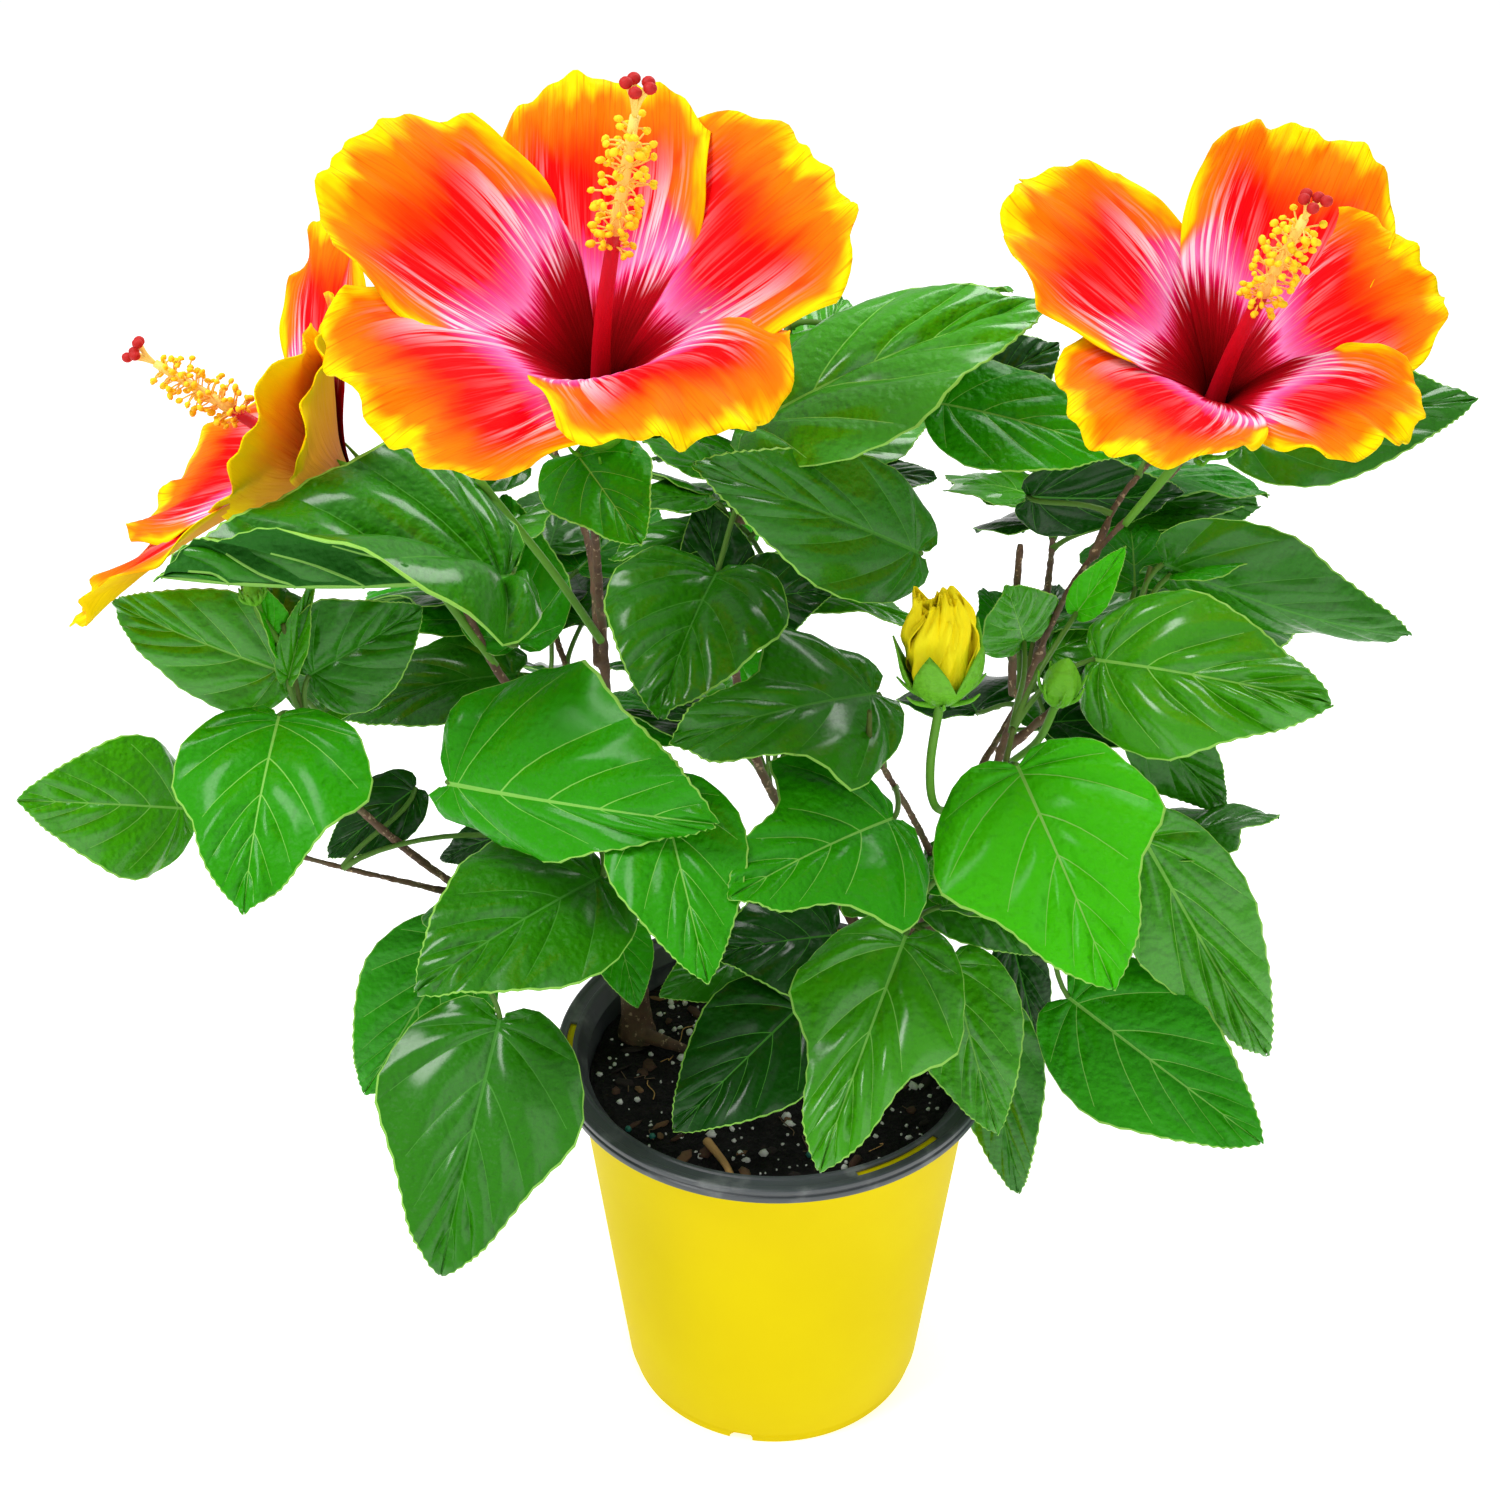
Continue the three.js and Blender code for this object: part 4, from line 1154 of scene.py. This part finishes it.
def petal_face():
    """The inner face: crimson, streaked pink and white, red, orange, and a yellow edge."""
    look, mapped, outer, along, streaks, edge_gap = petal_finish(
        "petal_face", (240, 60, 20), 0.6, (46, 2.2)
    )
    halo_reach = look.math("MULTIPLY_ADD", look.math("POWER", outer, 1.6), 0.5, 0.9)
    depth = look.math("DIVIDE", along, halo_reach)
    depth = look.math("ADD", depth, look.math("MULTIPLY_ADD", streaks, 0.2, -0.1))
    crimson = [(0.0, 84, 0, 8), (1.0, 255, 112, 6), (0.2, 128, 0, 14), (0.31, 176, 0, 28)]
    pink = [(0.35, 224, 16, 92), (0.39, 250, 124, 190), (0.46, 248, 70, 140)]
    red = [(0.54, 242, 6, 30), (0.72, 250, 16, 0), (0.87, 255, 74, 2)]
    in_halo = look.times(look.ease(depth, 0.29, 0.38), look.rest(look.ease(depth, 0.46, 0.82)))
    rays = look.times(in_halo, look.ease(streaks, 0.47, 0.62))
    rays = look.times(rays, look.math("MULTIPLY_ADD", look.ease(outer, 0.2, 0.7), 0.85, 0.15))
    painted = look.blend(rays, look.ramp(depth, crimson + pink + red), linear(255, 226, 236))
    orange = look.rest(look.ease(edge_gap, 0.04, 0.28))
    painted = look.blend(orange, painted, linear(255, 124, 10))
    yellow = look.rest(look.ease(edge_gap, -0.02, 0.08))
    painted = look.blend(yellow, painted, linear(255, 226, 0))
    veins = look.times(look.ease(look.streaks(mapped, 95, 3.2, 2.0), 0.55, 0.66), 0.4)
    veins = look.times(veins, look.ease(depth, 0.55, 0.8))
    look.paint(look.blend(veins, painted, linear(206, 50, 0)))
    blotches = look.noise(look.place(), 70, 3.0)
    look.bump(look.math("ADD", look.streaks(mapped, 60, 5, 2.0), blotches), 0.5, 0.0009)
    return look


def petal_back():
    """The outer face: ochre and dull orange, with a yellow edge."""
    look, mapped, _, along, streaks, edge_gap = petal_finish(
        "petal_back", (236, 160, 20), 0.65, (44, 2.0)
    )
    shift = look.math("ADD", along, look.math("MULTIPLY_ADD", streaks, 0.3, -0.15))
    stops = [(0.0, 206, 178, 90), (1.0, 252, 200, 10), (0.2, 222, 138, 84)]
    stops += [(0.42, 240, 158, 54), (0.75, 246, 180, 32)]
    yellow = look.rest(look.ease(edge_gap, 0.02, 0.24))
    look.paint(look.blend(yellow, look.ramp(shift, stops), linear(255, 214, 0)))
    look.bump(look.streaks(mapped, 60, 5, 2.0), 0.5, 0.0009)
    return look


def bloom_axes(axis):
    """Unit vectors to the right and up the face of a bloom, and along its axis."""
    out = unit(axis)
    right = unit(np.array((1.0, 0, 0)) - out * out[0])
    return right, np.cross(out, right), out


def ripple(marks, dice):
    """A wave over the marks, begun at a random point."""
    return np.sin(marks + dice.uniform(0, 6))


def petal(throat, axes, azimuth, length, half, slope, recurve, cup, ruffle, lap, seed):
    """Grid of a petal's inner face, with its place on the petal's own map."""
    dice = np.random.default_rng(seed)
    right, up, out = axes
    radial = right * cos(radians(azimuth)) + up * sin(radians(azimuth))
    sideways = np.cross(out, radial)
    along = np.linspace(0, 1, PETAL_ROWS)[:, None]
    across = np.linspace(1, -1, PETAL_COLUMNS)[None, :]
    round_rim = across + np.sign(across) * (1 - along) * 1.1
    frill = 0.009 * ripple(round_rim * 13, dice)
    frill = frill + 0.008 * ripple(round_rim * 24, dice)
    frill = frill + 0.016 * ripple(round_rim * 4, dice)
    end = 1 - 0.2 * np.abs(across) ** 2.8 + frill
    share = along * end
    marks = np.linspace(0, 1.1, 120)
    tilt = slope + (THROAT_SLOPE - slope) * np.exp(-marks / FUNNEL_EASE) - recurve * marks**3
    step = (marks[1] - marks[0]) * length
    run = 2.6 + np.concatenate([[0], np.cumsum(np.cos(np.radians(tilt[:-1])) * step)])
    rise = np.concatenate([[0], np.cumsum(np.sin(np.radians(tilt[:-1])) * step)])
    reach, climb = np.interp(share, marks, run), np.interp(share, marks, rise)
    spread = 3.2 + (half - 3.2) * np.sin(pi / 2 * np.minimum(1, along / 0.78)) ** 1.5
    wrap = reach + 52 * share**1.5
    angle = across * spread / wrap
    inward = wrap * (1 - np.cos(angle))
    place = (
        throat
        + (reach - 0.8 * inward)[..., None] * radial
        + (wrap * np.sin(angle))[..., None] * sideways
        + (climb + cup * across**2 * share + lap * across * np.sqrt(share))[..., None] * out
    )
    over = np.cross(np.gradient(place, axis=1), np.gradient(place, axis=0))
    over /= np.maximum(np.linalg.norm(over, axis=2, keepdims=True), 1e-9)
    near_rim = np.maximum(along**7, np.abs(across) ** 7 * np.clip((along - 0.4) / 0.4, 0, 1))
    waves = ripple(round_rim * 9, dice) + 0.4 * ripple(round_rim * 19, dice)
    soft = 1.6 * ripple(across * 5, dice) * along**2
    veins = 0.16 * np.sin(across * 46) * np.sin(pi * along)
    place = place + over * (ruffle * near_rim * waves + soft + veins)[..., None]
    spots = np.stack(np.broadcast_arrays(across / 2 + 0.5, along), -1)
    return place, spots.reshape(-1, 2)


# ---- Column, stamens and stigmas ------------------------------------------------------
# A red column stands out of the throat. Its outer half carries yellow stamens on fine
# threads all round, and its tip parts into five styles with round red pads.

COLUMN_PARTS = (
    ("column_red", (206, 8, 34), 0.45),
    ("column_yellow", (255, 222, 110), 0.5),
    ("pollen_yellow", (255, 218, 0), 0.7),
    ("stamen_thread", (255, 206, 90), 0.5),
    ("stigma_red", (190, 14, 6), 0.65),
)
column_looks = [rough_finish(*look, 1400, 4.0, 0.4, 0.0004) for look in COLUMN_PARTS]
RED, YELLOW_END, POLLEN, THREAD, STIGMA = range(5)
STAMENS = 96
STYLES = 5
pad_points, pad_faces = ball(7, 10)


def add_column(name, throat, stigma, seed):
    """A bloom's column from its throat to its stigmas, with all that it carries."""
    dice = np.random.default_rng(seed)
    stigma = np.array(stigma, float)
    way = unit(stigma - throat)
    length = np.linalg.norm(stigma - throat)
    side = unit(np.cross(way, (0.3, 0.2, 1)))
    other = np.cross(way, side)
    bowed = throat + way * length * 0.33 + side * 0.02 * length
    line = smooth_path([throat - way * 2, bowed, throat + way * length * 0.9], 12)
    split = int(len(line) * 0.7)
    radii = np.interp(np.linspace(0, 1, len(line)), (0, 0.12, 0.6, 1), (4.0, 3.0, 2.1, 1.3))
    parts = Bundle()
    parts.add(*tube(line[: split + 1], radii[: split + 1], 14), RED)
    parts.add(*tube(line[split:], radii[split:], 14), YELLOW_END)
    top = line[-1]
    for style in range(STYLES):
        turn = 2 * pi * style / STYLES + 0.4
        spread = side * cos(turn) + other * sin(turn)
        pad = top + way * length * dice.uniform(0.07, 0.1) + spread * dice.uniform(2.6, 3.6)
        knee = top + way * length * 0.05 + spread * 1.2
        parts.add_stalk([top, knee, pad], 4, 0.65, 0.65, 7, YELLOW_END)
        parts.add(pad + pad_points * (1.8, 1.8, 1.6), pad_faces, STIGMA)
    for number in range(STAMENS):
        share = 0.667 + 0.315 * (number + 0.5) / STAMENS
        root = line[int(share * (len(line) - 1))] + way * dice.uniform(-1, 1)
        turn = radians(GOLDEN * number) + dice.normal(0, 0.15)
        spread = side * cos(turn) + other * sin(turn)
        reach = dice.uniform(4.6, 8.2) * (1.05 - 0.4 * abs(share - 0.83) / 0.2)
        end = root + spread * reach + way * dice.uniform(0, 3.4)
        knee = root + spread * reach * 0.5 + way * dice.uniform(0.4, 1.8)
        parts.add_stalk([root, knee, end], 3, 0.28, 0.28, 5, THREAD)
        lump = grain_points * (1.35, 0.85, 1.0) * dice.uniform(0.85, 1.2)
        swing = Matrix.Rotation(dice.uniform(0, pi), 3, Vector(dice.normal(0, 1, 3)))
        parts.add(end + lump @ np.array(swing), grain_faces, POLLEN)
    parts.piece("stamens_" + name, column_looks, "petals")


# ---- Calyx and flower stalk -----------------------------------------------------------
# A green cup of five pointed sepals holds the petals' foot, with a ring of narrow bracts
# under it, on a stiff green stalk from the shoot.

calyx_green = leaf_finish("calyx_green", (104, 176, 44), 0.42, 0.15)
stalk_green = leaf_finish("stalk_green", (96, 150, 52), 0.45, 0.1, 0.2)
petiole_green = leaf_finish("petiole_green", (92, 132, 58), 0.45, 0.1, 0.2)
shoot_green = leaf_finish("shoot_green", (88, 104, 50), 0.5, 0.1, 0.3)
calyxes = Bundle()
CUP, STALK = 0, 1
SEPALS = 5
BRACTS = 7


def add_round_sheet(bundle, foot, axes, turn, wide, climb, thick):
    """A thin sheet bent round an axis, from the angle, radius and height of its points."""
    right, up, out = axes
    grid = (
        foot
        + climb[..., None] * out
        + (wide * np.cos(turn))[..., None] * right
        + (wide * np.sin(turn))[..., None] * up
    )
    points, faces, _ = shell(grid[::-1], thick)
    bundle.add(points, faces)


def add_sepals(foot, axes, length, radius, spread, depth=0.55):
    """A cup whose rim is cut into pointed sepals, `depth` of its length deep."""
    sides = 6 * SEPALS + 1
    turn = np.linspace(0, -2 * pi, sides)[None, :]
    row = np.linspace(0, 1, 9)[:, None]
    lobe = 1 - np.abs(((np.arange(sides) / 6) % 1) * 2 - 1)[None, :]
    top = length * (1 - depth + depth * lobe**0.8)
    climb = row * top
    share = climb / length
    wide = radius * (0.42 + 0.58 * np.sin(pi / 2 * np.minimum(1, share / 0.5))) + spread * share**2
    add_round_sheet(calyxes, foot, axes, turn, wide, climb, 0.6)


def add_bracts(foot, axes, length, radius, lean):
    """Narrow pointed bracts standing round a calyx."""
    right, up, out = axes
    for number in range(BRACTS):
        turn = 2 * pi * number / BRACTS + 0.2
        away = right * cos(turn) + up * sin(turn)
        root = foot + away * radius
        end = root + out * length * cos(radians(lean)) + away * length * sin(radians(lean))
        calyxes.add_stalk([root - away, (root + end) / 2 + away * 1.2, end], 3, 1.1, 0.3, 6)


# A petal: azimuth, length, half of its width, slope, recurve, cup and ruffle.
BLOOMS = {
    "centre": {
        "throat": (-52, -60, 432),
        "axis": (0.02, -0.43, 0.9),
        "stigma": (-37, -93, 529),
        "lap": -3.4,
        "stalk": [(-60, 8, 352), (-59, -14, 380), (-54, -47, 408)],
        "petals": [
            (90, 90, 31, 34, 14, 3, 1.6),
            (154, 97, 33, 34, 16, 3, 2.4),
            (27, 92, 43, 36, 14, 3, 2.0),
            (222, 91, 40, 31, 30, 2, 2.6),
            (301, 90, 35, 50, 76, 2, 3.4),
        ],
    },
    "right": {
        "throat": (132, -20, 414),
        "axis": (0.04, -0.5, 0.87),
        "stigma": (144.5, -58, 490),
        "lap": 3.4,
        "stalk": [(112, -2, 366), (122, -4, 382), (129, -9, 396)],
        "petals": [
            (65, 87, 31, 30, 10, 3, 2.2),
            (154, 92, 33, 32, 14, 3, 2.4),
            (20, 73, 30, 30, 14, 3, 2.6),
            (227, 84, 31, 36, 38, 2, 2.4),
            (309, 75, 22, 42, 44, 2, 3.0),
        ],
    },
    "left": {
        "throat": (-138, 0, 379),
        "axis": (-0.75, -0.08, 0.66),
        "stigma": (-203, 5, 423),
        "lap": 5.0,
        "stalk": [(-98, 20, 302), (-112, 14, 330), (-120, 1, 356)],
        "petals": [
            (146, 88, 38, 18, 14, 3, 2.2),
            (60, 95, 21, 20, 6, 3, 3.0),
            (346, 60, 32, 36, 14, 3, 2.4),
            (302, 61, 34, 41, 4, 3, 2.4),
            (208, 96, 38, 20, 6, 3, 2.6),
        ],
    },
}
petal_looks = [petal_face(), petal_back()]
for order, (name, bloom) in enumerate(BLOOMS.items()):
    throat, axes = np.array(bloom["throat"], float), bloom_axes(bloom["axis"])
    petals = Bundle()
    for number, shape in enumerate(bloom["petals"]):
        top, spots = petal(throat, axes, *shape, bloom["lap"], 50 * order + number)
        made, faces, upper = shell(top, PETAL_THICK)
        looks = np.zeros(len(faces), int)
        looks[upper : 2 * upper] = 1
        petals.add(made, faces, looks, np.vstack([spots, spots]))
    petals.piece("petals_" + name, petal_looks, "petals", "bloom_" + name)
    add_column(name, throat, bloom["stigma"], 300 + order)
    foot = throat - axes[2] * 22
    add_sepals(foot, axes, 32, 7.5, 3)
    add_bracts(foot - axes[2] * 1.5, axes, 15, 4.0, 34)
    calyxes.add_stalk([*bloom["stalk"], foot + axes[2] * 1.5], 8, 1.3, 1.9, 10, STALK)

# ---- Buds -----------------------------------------------------------------------------
# One yellow bud is just opening, its petals still crumpled and rolled round each other; green
# buds wait on the shoots, and one old flower stalk ends in a clean cut.

yellow = Finish("bud_yellow", (252, 232, 0), 0.6, Specular_IOR_Level=0.1)
creases = yellow.noise(yellow.scaled(yellow.place(), (1, 1, 0.35)), 420, 5.0)
# The bud's yellow is paler where the crease pattern stands high and deeper where it dips: painted light
# on the crease ridges and painted shade in their hollows, set by the same pattern as the bump.
yellow.paint(yellow.blend(creases, linear(252, 222, 0), linear(255, 250, 40)))
yellow.bump(creases, 0.7, 0.0012)

BUD_MIDDLE, BUD_LENGTH, BUD_RADIUS = (48, -68, 357), 34, 12.5
bud_axes = bloom_axes((-0.06, -0.05, 1))
bud_foot = np.array(BUD_MIDDLE, float) - bud_axes[2] * BUD_LENGTH * 0.5
BUD_PETALS = 5
bud = Bundle()
for number in range(BUD_PETALS):
    dice = np.random.default_rng(700 + number)
    row = np.linspace(0, 1, 26)[:, None]
    column = np.linspace(1, -1, 33)[None, :]
    swell = np.sin(pi * (0.13 + 0.69 * row)) ** 0.7 * (1 - 0.16 * number * row)
    turn = 2 * pi * number / BUD_PETALS + column * 1.3 + 1.3 * row
    crease = 1.1 * ripple(column * 9 + row * 5, dice) + ripple(column * 5 - row * 11, dice)
    crease = crease + 0.8 * row * ripple(column * 17 + row * 8, dice)
    wide = BUD_RADIUS * swell * (0.92 + 0.07 * column) + crease * row * 1.15
    top = BUD_LENGTH * (1 + 0.07 * ripple(column * 6, dice) - 0.03 * column**2)
    top = top + 1.2 * ripple(column * 19, dice)
    climb = row * top * dice.uniform(0.9, 1.0)
    add_round_sheet(bud, bud_foot, bud_axes, turn, wide, climb, 0.45)
bud.piece("opening_bud_petals", [yellow], "bud", "opening_bud")
add_sepals(bud_foot - bud_axes[2] * 2, bud_axes, 23, 12.2, 2.5, 0.66)
add_bracts(bud_foot - bud_axes[2] * 3, bud_axes, 12, 4.5, 52)
bud_stalk = [(60, -40, 280), (50, -56, 292), (47, -63, 312), bud_foot]
calyxes.add_stalk(bud_stalk, 8, 1.3, 1.5, 10, STALK)


BUD_POINTS, BUD_FACES = ball(14, 20)
# A bud: its middle, its axis, its length, its radius and its stalk.
GREEN_BUDS = [
    ((89, -44, 330), (0.1, -0.2, 1), 17, 6.0, [(76, -30, 292), (84, -38, 306)]),
    ((-168, -24, 352), (-0.2, -0.1, 1), 9, 3.2, [(-160, -22, 330), (-166, -23, 342)]),
    ((131, 30, 404), (0.3, 0.3, 1), 11, 3.8, [(131, 26, 392), (132, 28, 397)]),
    ((6, 22, 438), (0, 0.2, 1), 10, 3.4, [(4, 20, 424), (5, 21, 432)]),
    ((-88, 92, 396), (0, 0.3, 1), 12, 4.2, [(-86, 88, 384), (-87, 90, 390)]),
    ((10, 106, 366), (0.1, 0.4, 1), 11, 3.8, [(8, 102, 354), (9, 104, 360)]),
    ((110, 102, 360), (0.3, 0.4, 1), 10, 3.5, [(106, 96, 350), (108, 99, 355)]),
]
for middle, axis, length, radius, stalk in GREEN_BUDS:
    axes = bloom_axes(axis)
    across, climb = BUD_POINTS[:, :2], BUD_POINTS[:, 2]
    ridge = 1 + 0.07 * np.cos(5 * np.arctan2(across[:, 1], across[:, 0]))
    upper = np.clip(climb, 0, 1)
    wide = ridge * (1 - 0.3 * upper**1.5) * radius
    height = climb * length / 2 + 0.12 * length * upper**3
    shape = np.column_stack([across * wide[:, None], height])
    calyxes.add(np.array(middle) + shape @ np.array(axes), BUD_FACES, CUP)
    foot = np.array(middle) - axes[2] * length / 2
    add_bracts(foot + axes[2], axes, length * 0.7, radius * 0.45, 26)
    calyxes.add_stalk([*stalk, foot + axes[2]], 6, 1.2, 1.4, 8, STALK)
calyxes.add_stalk([(-60, 8, 318), (-74, -4, 350), (-94, -20, 390)], 8, 1.5, 1.25, 8, STALK)
calyxes.piece("calyxes_and_flower_stalks", [calyx_green, stalk_green], "foliage")
shoots.piece("green_shoots", [shoot_green], "foliage")
petioles.piece("petioles", [petiole_green], "foliage")

size = {"cad": [list(c) for c in cad_box], "visual": [list(c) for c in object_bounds()]}
